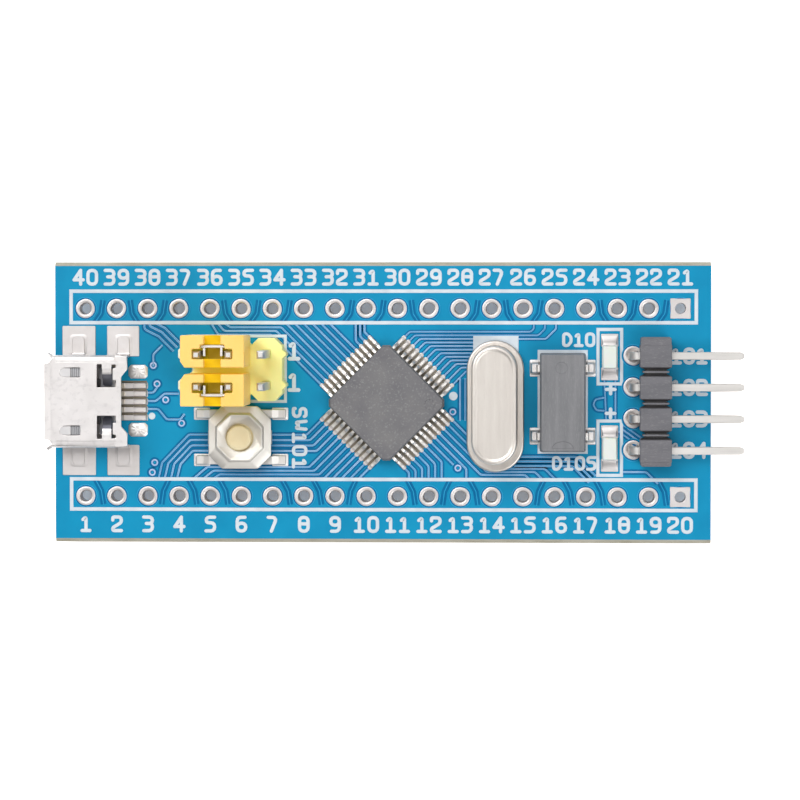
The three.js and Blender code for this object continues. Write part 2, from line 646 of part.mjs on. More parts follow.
function regulator(group) {
  const { width, length, z0, z1, pitch } = REGULATOR;
  const lead = REGULATOR_LEAD;
  const a = width / 2 - lead.inner;
  const b = length / 2 - lead.inner;
  const body = extrude("z", rectangle(-width / 2, width / 2, -length / 2, length / 2), z0, z1);
  const band = rectangle(-width, width, -length, length);
  const gap = extrude("z", band, lead.level - FIT, lead.level + lead.thick + FIT, [
    rectangle(-a, a, -b, b).reverse(),
  ]);
  piece(group, "regulator_body", "epoxy", cut(body, gap));
  const knee = width / 2 + lead.knee;
  const heel = knee + lead.slope;
  const root = a + lead.ring / 2;
  const profile = [
    [root, lead.level], [knee, lead.level], [heel, SEAT], [lead.tip, SEAT],
    [lead.tip, SEAT + lead.thick], [heel + lead.lag, SEAT + lead.thick],
    [knee + lead.lag, lead.level + lead.thick], [root, lead.level + lead.thick],
  ];
  // Inside the groove the leads are held together by a ring, which stands for the moulded frame.
  const c = a + 2 * FIT;
  const d = b + 2 * FIT;
  const outer = rectangle(-a - lead.ring, a + lead.ring, -b - lead.ring, b + lead.ring);
  const hole = rectangle(-c, c, -d, d).reverse();
  const solids = [extrude("z", outer, lead.level, lead.level + lead.thick, [hole])];
  for (const [turn, places] of [[0, [-pitch, 0, pitch]], [Math.PI, [-pitch, pitch]]]) {
    for (const y of places) {
      solids.push(extrude("y", profile, y - lead.width / 2, y + lead.width / 2).rotateZ(turn));
    }
  }
  piece(group, "regulator_leads", "tin", join(...solids));
}

/** A resistor or capacitor: plated ends stand a little proud of the ceramic between them. */
function chip(group, [name, x, y, turned, tall]) {
  const { length, width, end, waist } = CHIP;
  const a = length / 2;
  const b = width / 2;
  const outline = [
    [-a, -b], [end - a, -b], [end - a, waist - b], [a - end, waist - b], [a - end, -b], [a, -b],
    [a, b], [a - end, b], [a - end, b - waist], [end - a, b - waist], [end - a, b], [-a, b],
  ];
  const finish = name.includes("resistor") ? "resistor" : "ceramic";
  const mesh = piece(group, name, finish, extrude("z", outline, SEAT, SEAT + tall));
  mesh.position.set(x, -y, 0); // the group is turned over, which reverses Y
  mesh.rotation.z = turned ? Math.PI / 2 : 0;
}

// ---------------------------------------------------------------- assembly

function at(parent, x, y) {
  const group = new THREE.Group();
  group.position.set(x, y, 0);
  parent.add(group);
  return group;
}

const object = new THREE.Group();
object.position.x = -(DEBUG.reach + USB.x0 - USB.lip) / 2;

const topSide = new THREE.Group();
topSide.position.z = TAIL + BOARD.thick;
object.add(topSide);

circuitBoard(topSide);
const socket = at(topSide, 0, USB.y);
usbShell(socket);
usbInsulator(socket);
usbContacts(socket);
const boot = at(topSide, BOOT.x, BOOT.y);
bootHeader(boot);
jumper(boot, "upper", bootRows[0], 1);
jumper(boot, "lower", bootRows[1], -1);
resetSwitch(at(topSide, SWITCH.x, SWITCH.y));
const chipGroup = at(topSide, MCU.x, MCU.y);
chipGroup.rotation.z = Math.PI / 4;
microcontroller(chipGroup);
crystal(at(topSide, CRYSTAL.x, CRYSTAL.y));
watchCrystal(at(topSide, WATCH.x, WATCH.y));
lamp(at(topSide, LED.x, LED.ys[0]), "power_led");
lamp(at(topSide, LED.x, LED.ys[1]), "user_led");
debugHeader(topSide);

// The underside is drawn face up and turned over about the board's long axis.
const underside = new THREE.Group();
underside.position.z = TAIL;
underside.rotation.x = Math.PI;
object.add(underside);
regulator(at(underside, REGULATOR.x, REGULATOR.y));
for (const entry of CHIPS) {
  chip(underside, entry);
}

export default object;
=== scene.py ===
"""Looks of a small microcontroller board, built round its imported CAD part.

Everything is drawn in millimetres from the middle of the board's upper face: X along the board
towards the debug header, Y across it, Z up. A piece is turned into the frame's metres when it is
made. Places come from the boxes of the CAD nodes that the pieces stand for.
"""

import json
import math
import random
from types import SimpleNamespace

import bpy
from mathutils import Matrix, Vector
from mathutils.geometry import tessellate_polygon


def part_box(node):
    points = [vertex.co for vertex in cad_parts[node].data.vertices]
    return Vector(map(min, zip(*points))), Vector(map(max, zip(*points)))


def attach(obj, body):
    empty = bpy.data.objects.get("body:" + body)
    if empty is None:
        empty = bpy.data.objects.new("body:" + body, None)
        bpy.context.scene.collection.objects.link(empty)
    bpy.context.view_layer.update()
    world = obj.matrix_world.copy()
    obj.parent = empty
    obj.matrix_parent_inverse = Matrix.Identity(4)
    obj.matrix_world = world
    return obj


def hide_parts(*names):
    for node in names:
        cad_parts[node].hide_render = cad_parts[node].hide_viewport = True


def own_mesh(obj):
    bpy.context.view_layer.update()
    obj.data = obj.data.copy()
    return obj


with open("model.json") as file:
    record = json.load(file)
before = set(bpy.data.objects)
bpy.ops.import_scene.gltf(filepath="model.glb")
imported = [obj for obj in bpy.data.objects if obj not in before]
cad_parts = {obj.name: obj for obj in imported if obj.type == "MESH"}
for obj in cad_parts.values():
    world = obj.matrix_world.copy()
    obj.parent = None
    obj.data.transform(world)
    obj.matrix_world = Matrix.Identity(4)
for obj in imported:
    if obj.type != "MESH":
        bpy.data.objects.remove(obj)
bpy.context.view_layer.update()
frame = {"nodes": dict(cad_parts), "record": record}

MM = 0.001
low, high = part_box("circuit_board")
MIDDLE = Vector(((low.x + high.x) / 2, (low.y + high.y) / 2, high.z))


def box_of(node):
    """Box of a CAD node in millimetres, with its middle (x, y) and half sizes (hx, hy)."""
    a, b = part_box(node)
    a, b = (a - MIDDLE) / MM, (b - MIDDLE) / MM
    return SimpleNamespace(
        x0=a.x, x1=b.x, y0=a.y, y1=b.y, z0=a.z, z1=b.z,
        x=(a.x + b.x) / 2, y=(a.y + b.y) / 2, hx=(b.x - a.x) / 2, hy=(b.y - a.y) / 2,
    )


# ---- sizes shared by several pieces

PITCH = 2.54
BOARD = box_of("circuit_board")
THICK = -BOARD.z0
SCORE = 0.3
ROW_Y = 3 * PITCH
ROW_XS = [(i - 9.5) * PITCH for i in range(20)]
DEBUG_X = 20.32
DEBUG_YS = [(1.5 - i) * PITCH for i in range(4)]
BOOT = box_of("boot_pin_2")
BOOT_XS = [BOOT.x - PITCH, BOOT.x, BOOT.x + PITCH]
BOOT_YS = [BOOT.y, BOOT.y - PITCH]
PIN, LEAD_PITCH = 0.64, 0.5
SEAT = 0.04
GAP_Z, TRACK_Z, LEGEND_Z, PAD_Z = 0.007, 0.032, 0.045, 0.05


# ---- outlines

def circle(x, y, radius, sides=32, start=0.0, wobble=0.0, seed=0):
    """A round loop, run anticlockwise; wobble makes it a little uneven."""
    rng = random.Random(seed)
    phase = [rng.uniform(0, 2 * math.pi) for _ in range(3)]
    points = []
    for i in range(sides):
        a = start + 2 * math.pi * i / sides
        r = radius * (1 + wobble * sum(math.sin((k + 2) * a + phase[k]) for k in range(3)) / 3)
        points.append((x + r * math.cos(a), y + r * math.sin(a)))
    return points


def rectangle(x0, x1, y0, y1):
    return [(x0, y0), (x1, y0), (x1, y1), (x0, y1)]


def octagon(hx, hy, corner, x=0, y=0):
    half = [(hx - corner, -hy), (hx, corner - hy), (hx, hy - corner), (hx - corner, hy)]
    return [(x + e * a, y + e * b) for e in (1, -1) for a, b in half]


def rounded(points, radius, steps=3, closed=True):
    """The same outline or path with each corner eased into an arc."""
    out = []
    count = len(points)
    for i, p in enumerate(points):
        if not closed and i in (0, count - 1):
            out.append(tuple(p))
            continue
        p = Vector(p)
        to_last = Vector(points[i - 1]) - p
        to_next = Vector(points[(i + 1) % count]) - p
        a, b = to_last.normalized(), to_next.normalized()
        angle = a.angle(b)
        if angle > math.pi - 0.02:
            out.append(tuple(p))
            continue
        reach = min(radius / math.tan(angle / 2), to_last.length * 0.49, to_next.length * 0.49)
        arc = reach * math.tan(angle / 2)
        centre = p + (a + b).normalized() * arc / math.sin(angle / 2)
        start, end = p + a * reach - centre, p + b * reach - centre
        turn = start.angle(end)
        for k in range(steps + 1):
            t = k / steps
            s0, s1 = math.sin((1 - t) * turn), math.sin(t * turn)
            out.append(tuple(centre + (start * s0 + end * s1) / math.sin(turn)))
    return out


def bend(path, radius, steps=3):
    """The same open path with each corner eased into an arc."""
    return rounded(path, radius, steps, closed=False)


def stadium(x, y, hx, hy, sides=12):
    """An oval along Y with half-round ends."""
    middle = hy - hx
    top = [(x + hx * math.cos(math.pi * i / sides), y + middle + hx * math.sin(math.pi * i / sides))
           for i in range(sides + 1)]
    return top + [(2 * x - a, 2 * y - b) for a, b in top]


def at(z, loop):
    """A flat loop, raised to a height."""
    return [(x, y, z) for x, y in loop]


def anticlockwise(loop):
    area = sum(p[0] * q[1] - q[0] * p[1] for p, q in zip(loop, loop[1:] + loop[:1]))
    return loop if area > 0 else loop[::-1]


def pad_loop(x, y, hx, hy, radius, steps=3):
    return rounded(rectangle(x - hx, x + hx, y - hy, y + hy), radius, steps)


def normals(path, closed=False, sharpest=0.4):
    """The mitred left normal at each point of a path; sharpest limits how far a mitre reaches."""
    out = []
    count = len(path)
    for i in range(count):
        before = Vector(path[i]) - Vector(path[i - 1]) if closed or i > 0 else None
        after = Vector(path[(i + 1) % count]) - Vector(path[i]) if closed or i < count - 1 else None
        d1 = (before or after).normalized()
        d2 = (after or before).normalized()
        n1, n2 = Vector((-d1.y, d1.x)), Vector((-d2.y, d2.x))
        out.append((n1 + n2) / max(sharpest, 1 + n1.dot(n2)))
    return out


def beside(path, distance, closed=False, sharpest=0.4):
    """A path that runs at an even distance to the left of another."""
    return [tuple(Vector(p) + n * distance) for p, n in zip(path, normals(path, closed, sharpest))]


def offset(loop, distance):
    """Moves a closed loop to its left, which is into the material."""
    return beside(loop, distance, closed=True, sharpest=0.3)


# ---- solids

class Shape:
    """Points and faces in millimetres, gathered before they become one mesh."""

    def __init__(self):
        self.points, self.faces, self.paints = [], [], []

    def add(self, points, faces, paint=0, place=None):
        base = len(self.points)
        self.points += [place @ Vector(p) for p in points] if place else [Vector(p) for p in points]
        self.faces += [[base + i for i in face] for face in faces]
        self.paints += [paint] * len(faces) if isinstance(paint, int) else list(paint)

    def sheet(self, loops, z, paint=0, place=None, down=False):
        """A level face: an outline, then any holes, run the other way round."""
        rings = [[Vector((x, y, z)) for x, y in loop] for loop in loops]
        points = [p for ring in rings for p in ring]
        faces = [list(range(len(points)))]
        if len(rings) > 1:
            faces = [list(face) for face in tessellate_polygon(rings)]
            for face in faces:
                a, b, c = (points[i] for i in face)
                if (b - a).cross(c - a).z < 0:
                    face.reverse()
        self.add(points, [face[::-1] for face in faces] if down else faces, paint, place)

    def loft(self, rings, paint=0, place=None, ends=True, closed=False):
        """Joins rings of points, which all run anticlockwise seen from the last ring."""
        size = len(rings[0])
        points = [p for ring in rings for p in ring]
        faces = []
        for r in range(len(rings) if closed else len(rings) - 1):
            a, b = r * size, ((r + 1) % len(rings)) * size
            faces += [[a + i, a + (i + 1) % size, b + (i + 1) % size, b + i] for i in range(size)]
        if ends and not closed:
            faces.append(list(range(size))[::-1])
            faces.append([(len(rings) - 1) * size + i for i in range(size)])
        self.add(points, faces, paint, place)

    def stack(self, outline, levels, paint=0, place=None, ends=True):
        """Joins one outline's loops, given as (inset, height) from the bottom up."""
        self.loft([at(z, outline(inset)) for inset, z in levels], paint, place, ends)

    def plate(self, loops, z0, z1, edge=0.0, steps=2, paint=0, side=None, place=None, under=None):
        """A flat piece with rounded edges: an outline, then any holes, run the other way round."""
        under = edge if under is None else under
        side = paint if side is None else side
        levels = []
        for i in range(steps + 1 if under else 1):
            a = math.pi / 2 * i / steps if under else math.pi / 2
            levels.append((under * (1 - math.sin(a)), z0 + under * (1 - math.cos(a))))
        for i in range(steps + 1 if edge else 1):
            a = math.pi / 2 * i / steps if edge else 0
            levels.append((edge * (1 - math.cos(a)), z1 - edge * (1 - math.sin(a))))
        flats = [[offset(loop, inset) if inset else loop for loop in loops] for inset, _ in levels]
        for outlines in zip(*flats):
            self.loft([at(z, loop) for loop, (_, z) in zip(outlines, levels)], side, place, ends=False)
        self.sheet(flats[0], levels[0][1], paint, place, down=True)
        self.sheet(flats[-1], levels[-1][1], paint, place)

    def ribbon(self, path, width, z0, z1, slope=0.0, edge=0, ends=False, closed=False, place=None):
        """A flat track with sloping edges along a path; ends makes it end round."""
        half = width / 2
        stations = [(Vector(p), n, half) for p, n in zip(path, normals(path, closed))]
        if ends:
            for last in (False, True):
                p, n, _ = stations[-1 if last else 0]
                out = Vector((n.y, -n.x)) if last else Vector((-n.y, n.x))
                cap = [(p + out * half * math.sin(a), n, half * math.cos(a)) for a in (0.5, 1.0, 1.4)]
                stations = stations + cap if last else cap[::-1] + stations
        rings = []
        for p, n, h in stations:
            top = max(h - slope, h * 0.3)
            rings.append([(*(p + n * h), z0), (*(p + n * top), z1), (*(p - n * top), z1),
                          (*(p - n * h), z0)])
        paints = [edge, 0, edge, 0] * (len(rings) if closed else len(rings) - 1)
        self.loft(rings, paints + ([] if closed else [edge, edge]), place, closed=closed)

    def band(self, path, thick, halves, place, chamfer=0.03, paint=0):
        """A bent strip of sheet metal: a path in its own plane, and its half width at each point."""
        halves = [halves] * len(path) if isinstance(halves, (int, float)) else halves
        rings = []
        for p, n, h in zip(path, normals(path), halves):
            p = Vector(p)
            t, c = thick / 2, min(chamfer, h * 0.4)
            ring = []
            for side, across in ((-1, 1), (-1, -1), (1, -1), (1, 1)):
                inner = (*(p + n * side * t), across * (h - c))
                outer = (*(p + n * side * (t - c)), across * h)
                ring += [outer, inner] if side * across < 0 else [inner, outer]
            rings.append(ring)
        if not isinstance(paint, int):
            paint = [p for p in paint for _ in range(8)] + [paint[0], paint[-1]]
        self.loft(rings, paint, place)

    def lathe(self, profile, x, y, sides=32, paint=0, closed=False, wobble=0.0, seed=0):
        """Turns a profile of (radius, height), run upwards on the outside, about an upright axis."""
        rings = [at(z, circle(x, y, r, sides, 0, wobble, seed)) for r, z in profile]
        self.loft(rings, paint, closed=closed)

    def mound(self, outer, inner, z0, z1, steps=4, belly=0.5, root=0.03, place=None):
        """Solder that rises from one loop to another; belly below 1 makes it hollow, above 1 full."""
        rings = [at(z0 - root, outer)]
        for k in range(steps + 1):
            t = k / steps
            rise = t ** (1 / belly) if belly < 1 else 1 - (1 - t) ** belly
            rings.append([(a + (c - a) * t, b + (d - b) * t, z0 + (z1 - z0) * rise)
                          for (a, b), (c, d) in zip(outer, inner)])
        self.loft(rings, 0, place)


def along(x, y, turn, z=0.0):
    """Stands a strip's plane upright at a place: its first axis points along turn, in degrees."""
    a = math.radians(turn)
    c, s = math.cos(a), math.sin(a)
    return Matrix(((c, 0, s, x), (s, 0, -c, y), (0, 1, 0, z), (0, 0, 0, 1)))


def shifted(x, y, z=0.0, turn=0.0):
    return Matrix.Translation((x, y, z)) @ Matrix.Rotation(math.radians(turn), 4, "Z")


TO_FRAME = Matrix.Translation(MIDDLE) @ Matrix.Scale(MM, 4)
BODY_OF = {node: body for body, nodes in frame["record"]["behaviour"]["bodies"].items()
           for node in nodes}


def piece(name, shape, paints, nodes=(), sharp=40):
    """Makes one mesh object that rides on the body of the nodes that it stands for."""
    mesh = bpy.data.meshes.new(name)
    mesh.from_pydata([TO_FRAME @ p for p in shape.points], [], shape.faces)
    for material in paints:
        mesh.materials.append(material)
    mesh.polygons.foreach_set("material_index", shape.paints)
    mesh.polygons.foreach_set("use_smooth", [True] * len(mesh.polygons))
    mesh.set_sharp_from_angle(angle=math.radians(sharp))
    mesh.update()
    obj = bpy.data.objects.new(name, mesh)
    bpy.context.scene.collection.objects.link(obj)
    weighted = obj.modifiers.new("even_shading", "WEIGHTED_NORMAL")
    weighted.keep_sharp = True
    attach(obj, BODY_OF[nodes[0]] if nodes else "board_assembly")
    if nodes:
        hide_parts(*nodes)
    return obj


# ---- materials

def screen(colour):
    """A colour as it is seen on a screen, 0 to 255, as linear light."""
    shares = [v / 255 for v in colour]
    return [v / 12.92 if v <= 0.04045 else ((v + 0.055) / 1.055) ** 2.4 for v in shares] + [1.0]


class Paint:
    """A new material, with its shader and short ways to set, add and link nodes."""

    def __init__(self, name, **sockets):
        self.material = bpy.data.materials.new(name)
        self.material.use_nodes = True
        self.tree = self.material.node_tree
        self.shader = self.set(self.tree.nodes["Principled BSDF"], sockets)

    def set(self, node, sockets):
        for socket, value in sockets.items():
            node.inputs[socket.replace("_", " ")].default_value = value
        return node

    def node(self, kind, **sockets):
        return self.set(self.tree.nodes.new("ShaderNode" + kind), sockets)

    def mix(self, first, second):
        """Mixes two colours; its factor is input 0 and its result is output 2."""
        mixed = self.node("Mix")
        mixed.data_type = "RGBA"
        mixed.inputs[6].default_value = first
        mixed.inputs[7].default_value = second
        return mixed

    def link(self, a, out, b, into):
        self.tree.links.new(a.outputs[out], b.inputs[into])


def finish(name, colour, other, rough=(0.3, 0.45), metal=0.0, grain=3.0, stretch=(1, 1, 1),
           bump=0.1, speckle=0.0, speck=None, glow=None, **sockets):
    """A material whose colour, gloss and relief vary with noise; grain is in features a millimetre.
    Glow is painted light: an emission that rises where ambient occlusion finds shade, standing in for light
    that comes through a translucent plastic where little falls on it."""
    paint = Paint(name, Metallic=metal, **sockets)
    node, link, shader = paint.node, paint.link, paint.shader
    place = node("TexCoord")
    scale = node("Mapping", Scale=[grain / MM * s for s in stretch])
    link(place, "Object", scale, "Vector")
    broad = node("TexNoise", Scale=0.35, Detail=3.0)
    fine = node("TexNoise", Scale=2.2, Detail=5.0, Roughness=0.6)
    for noise in (broad, fine):
        link(scale, "Vector", noise, "Vector")
    tint = paint.mix(screen(colour), screen(other))
    spread = node("MapRange", From_Min=0.3, From_Max=0.7)
    link(broad, "Fac", spread, "Value")
    link(spread, "Result", tint, 0)
    if speckle:
        grains = node("TexNoise", Scale=5.0, Detail=2.0)
        link(scale, "Vector", grains, "Vector")
        pick = node("MapRange", From_Min=0.55, From_Max=0.72, To_Max=speckle)
        link(grains, "Fac", pick, "Value")
        dots = paint.mix(screen(colour), screen(speck))
        link(pick, "Result", dots, 0)
        link(tint, 2, dots, 6)
        tint = dots
    link(tint, 2, shader, "Base Color")
    gloss = node("MapRange", From_Min=0.3, From_Max=0.7, To_Min=rough[0], To_Max=rough[1])
    link(fine, "Fac", gloss, "Value")
    link(gloss, "Result", shader, "Roughness")
    relief = node("Bump", Strength=bump, Distance=0.02 * MM)
    link(fine, "Fac", relief, "Height")
    link(relief, "Normal", shader, "Normal")
    # Painted light: an emission, stronger where ambient occlusion finds shade, lifts the hollows of the
    # plastic.
    if glow:
        shader.inputs["Emission Color"].default_value = screen(glow)
        shade = node("AmbientOcclusion", Distance=3 * MM)
        shade.samples = 4
        lit = node("MapRange", From_Min=0.0, From_Max=0.6, To_Min=0.22, To_Max=0.0)
        link(shade, "AO", lit, "Value")
        link(lit, "Result", shader, "Emission Strength")
    return paint.material


MASK = finish("solder_mask", (8, 134, 177), (12, 144, 187), (0.35, 0.45), grain=1.0, bump=0.05,
              Specular_IOR_Level=0.14)
GAP = finish("mask_over_laminate", (0, 98, 146), (2, 108, 156), (0.35, 0.45), bump=0.05,
             Specular_IOR_Level=0.12)
TRACK = finish("mask_over_copper", (24, 148, 196), (44, 160, 206), (0.3, 0.4), bump=0.05,
               Specular_IOR_Level=0.25)
# Track edges: the thin mask over them is lighter, and a painted highlight lightens them further.
TRACK_EDGE_GLINT = finish("track_edge_mask_and_painted_highlight", (160, 184, 226), (196, 208, 238), (0.25, 0.35), grain=2.0,
                    bump=0.05)
LAMINATE = finish("bare_laminate", (176, 172, 158), (150, 146, 128), (0.6, 0.8), grain=2.0,
                  stretch=(0.5, 1, 4), bump=0.4, speckle=0.5, speck=(205, 200, 186))
BARE = finish("unmasked_laminate", (112, 105, 90), (130, 123, 108), (0.5, 0.7))
LEGEND = finish("legend_ink", (214, 222, 228), (198, 208, 217), (0.5, 0.65), bump=0.08,
                Specular_IOR_Level=0.3)
SOLDER = finish("solder", (238, 235, 233), (222, 217, 214), (0.36, 0.5), 1.0, grain=1.2, bump=0.04)
PAD = finish("solder_coating", (212, 208, 207), (200, 195, 193), (0.42, 0.55), 1.0, grain=1.5, bump=0.03,
             speckle=0.25, speck=(206, 202, 200))
STEEL = finish("nickel_steel", (228, 224, 223), (216, 212, 210), (0.34, 0.44), 1.0, grain=0.5, bump=0.02,
               speckle=0.4, speck=(194, 190, 190))
STEEL_DIM = finish("shaded_steel", (186, 186, 188), (170, 170, 173), (0.4, 0.5), 1.0, grain=2.0, bump=0.03)
# Dark steel: a painted shade on the spring fingers where they bend down into the socket.
STEEL_DARK = finish("steel_painted_shade", (96, 97, 106), (116, 116, 124), (0.4, 0.55), 0.8, grain=2.0, bump=0.03)
LATCH = finish("sprung_latch", (214, 212, 212), (200, 198, 199), (0.4, 0.5), 1.0, grain=2.0, bump=0.03)
LATCH_SHADE = finish("sprung_latch_in_shade", (140, 139, 142), (126, 126, 130), (0.4, 0.5), 1.0, grain=2.0,
                     bump=0.03)
CAN = finish("crystal_nickel", (221, 215, 208), (210, 203, 196), (0.34, 0.44), 1.0, grain=2.0,
             stretch=(3, 0.25, 1), bump=0.04, speckle=0.3, speck=(196, 190, 184))
TIN = finish("tin_plate", (238, 235, 231), (224, 219, 214), (0.3, 0.42), 1.0, grain=1.5, bump=0.03)
WIRE = finish("drawn_pin", (216, 213, 210), (200, 197, 193), (0.4, 0.5), 1.0, grain=2.0, stretch=(0.2, 3, 3),
              bump=0.04)
# Painted light: a lemon glow lifts the housing where it lies in shade.
LEMON = finish("lemon_nylon", (253, 248, 166), (249, 242, 148), (0.4, 0.55), grain=0.6, bump=0.06,
               glow=(206, 196, 60), Subsurface_Weight=0.2, Subsurface_Scale=0.0006)
# Nearly white nylon: a painted highlight on the snapped webs of the boot header.
LEMON_HIGHLIGHT = finish("nylon_painted_highlight", (250, 249, 226), (244, 241, 206), (0.4, 0.55), grain=1.0, bump=0.06)
# Painted light: a yellow glow lifts the caps where they lie in shade.
AMBER = finish("amber_nylon", (254, 212, 120), (250, 204, 104), (0.36, 0.5), grain=0.8, bump=0.06,
               glow=(178, 172, 2), Subsurface_Weight=0.15, Subsurface_Scale=0.0006)
# Deeper amber: a painted shade on the floor of each jumper cap's groove.
AMBER_GROOVE_SHADE = finish("amber_groove_painted_shade", (236, 194, 4), (226, 182, 2), (0.55, 0.7), grain=1.5, bump=0.06,
                    Specular_IOR_Level=0.2)
# Shade painted into the colour, with a painted glow where ambient occlusion is deepest.
OLIVE = finish("amber_in_shade", (198, 164, 16), (180, 148, 10), (0.5, 0.65), grain=2.0, glow=(192, 164, 8))
BLACK = finish("black_nylon", (92, 92, 97), (108, 107, 112), (0.4, 0.6), grain=1.5, stretch=(0.5, 2, 1),
               bump=0.4, speckle=0.7, speck=(128, 126, 128))
# Dark nylon, the colour of the reset switch's base and the socket's insulator; on the debug header it is a
# painted shade.
DARK = finish("dark_nylon_and_painted_shade", (46, 45, 46), (60, 58, 58), (0.5, 0.7), grain=2.0)
GREY = finish("grey_nylon", (168, 168, 174), (150, 150, 157), (0.5, 0.65), grain=2.0)
COVER = finish("switch_cover_steel", (224, 221, 215), (214, 210, 203), (0.42, 0.52), 1.0, grain=1.0,
               bump=0.03)
PLUNGER = finish("plunger_nylon", (238, 226, 188), (230, 213, 170), (0.4, 0.5), grain=1.5, bump=0.06)
EPOXY = finish("mcu_epoxy", (102, 101, 105), (116, 115, 116), (0.6, 0.75), grain=1.3, bump=0.25, speckle=0.9,
               speck=(132, 132, 132))
RESIN = finish("watch_crystal_resin", (110, 111, 114), (126, 126, 129), (0.5, 0.66), grain=2.0,
               stretch=(3, 0.25, 1), bump=0.2, speckle=0.4, speck=(150, 150, 150))
QUARTZ = finish("quartz", (235, 240, 243), (225, 232, 236), (0.08, 0.14))
LAMP_BASE = finish("lamp_laminate", (240, 238, 228), (232, 228, 214), (0.4, 0.55), grain=2.0)
LENS = finish("lamp_lens", (250, 250, 245), (240, 248, 239), (0.12, 0.2), grain=1.4, bump=0.03,
              Transmission_Weight=0.2, IOR=1.5, Subsurface_Weight=0.25, Subsurface_Scale=0.0004)
CERAMIC = finish("capacitor_ceramic", (176, 148, 112), (160, 132, 98), (0.4, 0.55), bump=0.2)
RESISTOR = finish("resistor_glaze", (38, 38, 42), (50, 50, 54), (0.25, 0.4))


# ---- legend strokes

GLYPHS = {
    "0": [([(0, 0), (1, 0), (1, 1.6), (0, 1.6)], True)],
    "1": [([(0.15, 1.3), (0.5, 1.6), (0.5, 0)], False), ([(0.05, 0), (0.95, 0)], False)],
    "2": [([(0, 1.25), (0, 1.6), (1, 1.6), (1, 0.95), (0, 0.35), (0, 0), (1, 0)], False)],
    "3": [([(0, 1.6), (1, 1.6), (1, 0.85), (0.3, 0.85)], False),
          ([(0.3, 0.85), (1, 0.85), (1, 0), (0, 0)], False)],
    "4": [([(0.75, 0), (0.75, 1.6)], False), ([(0.75, 1.6), (0, 0.5)], False),
          ([(0, 0.5), (1.05, 0.5)], False)],
    "5": [([(1, 1.6), (0.05, 1.6), (0, 0.95), (1, 0.95), (1, 0), (0, 0)], False)],
    "6": [([(0, 0), (1, 0), (1, 0.9), (0, 0.9)], True), ([(0.9, 1.6), (0, 1.6), (0, 0.5)], False)],
    "7": [([(0, 1.6), (1, 1.6), (0.35, 0)], False)],
    "8": [([(0, 0), (1, 0), (1, 1.6), (0, 1.6)], True), ([(0, 0.85), (1, 0.85)], False)],
    "9": [([(0, 0.7), (1, 0.7), (1, 1.6), (0, 1.6)], True), ([(0.1, 0), (1, 0), (1, 1.1)], False)],
    "D": [([(0, 0), (0.6, 0), (1, 0.5), (1, 1.1), (0.6, 1.6), (0, 1.6)], True)],
    "S": [([(1, 1.4), (0.9, 1.6), (0, 1.6), (0, 0.85), (1, 0.85), (1, 0), (0, 0), (0, 0.2)], False)],
    "W": [([(0, 1.6), (0.15, 0), (0.5, 1.0), (0.85, 0), (1, 1.6)], False)],
    "+": [([(0.5, 0.4), (0.5, 1.3)], False), ([(0.05, 0.85), (0.95, 0.85)], False)],
}


def write(shape, text, x, y, tall, stroke=0.28, turn=0.0, step=1.62):
    """Draws a line of numerals centred on a place, in strokes of even width."""
    unit = (tall - stroke) / 1.6
    start = -unit * (step * (len(text) - 1) + 1) / 2
    c, s = math.cos(math.radians(turn)), math.sin(math.radians(turn))
    for i, glyph in enumerate(text):
        for k, (points, closed) in enumerate(GLYPHS[glyph]):
            path = []
            for a, b in rounded(points, 0.42, 3, closed):
                a, b = start + unit * (a + i * step), unit * (b - 0.8)
                path.append((x + a * c - b * s, y + a * s + b * c))
            height = LEGEND_Z + 0.004 + 0.003 * k
            shape.ribbon(path, stroke, -0.01, height, 0.02, ends=not closed, closed=closed)


def frame_line(shape, x0, x1, y0, y1, width=0.3):
    shape.ribbon(rectangle(x0, x1, y0, y1), width, 0.0, LEGEND_Z, 0.02, closed=True)


# ---- circuit board

def drilled_holes():
    holes = [(x, s * ROW_Y, 0.5) for x in ROW_XS for s in (1, -1)]
    holes += [(DEBUG_X, y, 0.5) for y in DEBUG_YS]
    holes += [(x, y, 0.5) for x in BOOT_XS for y in BOOT_YS]
    for i in (1, 2):
        lead = box_of(f"crystal_lead_{i}")
        holes.append((lead.x, lead.y, 0.4))
    return holes


HOLES = drilled_holes()
EMPTY = len(ROW_XS) * 2  # the first holes stay open; pins and leads fill the rest


def board():
    shape = Shape()

    def outline(inset):
        return rectangle(BOARD.x0, BOARD.x1, BOARD.y0 + inset, BOARD.y1 - inset)

    shape.stack(outline, ((SCORE, -THICK), (0, SCORE - THICK), (0, -SCORE), (SCORE, 0)), 1, ends=False)
    holes = [circle(x, y, r, 24)[::-1] for x, y, r in HOLES]
    for hole in holes:
        shape.loft([at(-THICK, hole), at(0, hole)], 1, ends=False)
    shape.sheet([outline(SCORE), *holes], 0)
    shape.sheet([outline(SCORE), *holes], -THICK, down=True)
    # The mask stops short of the scored edges, so a strip of bare laminate shows along them.
    piece("board_laminate", shape, [MASK, LAMINATE], ["circuit_board"])


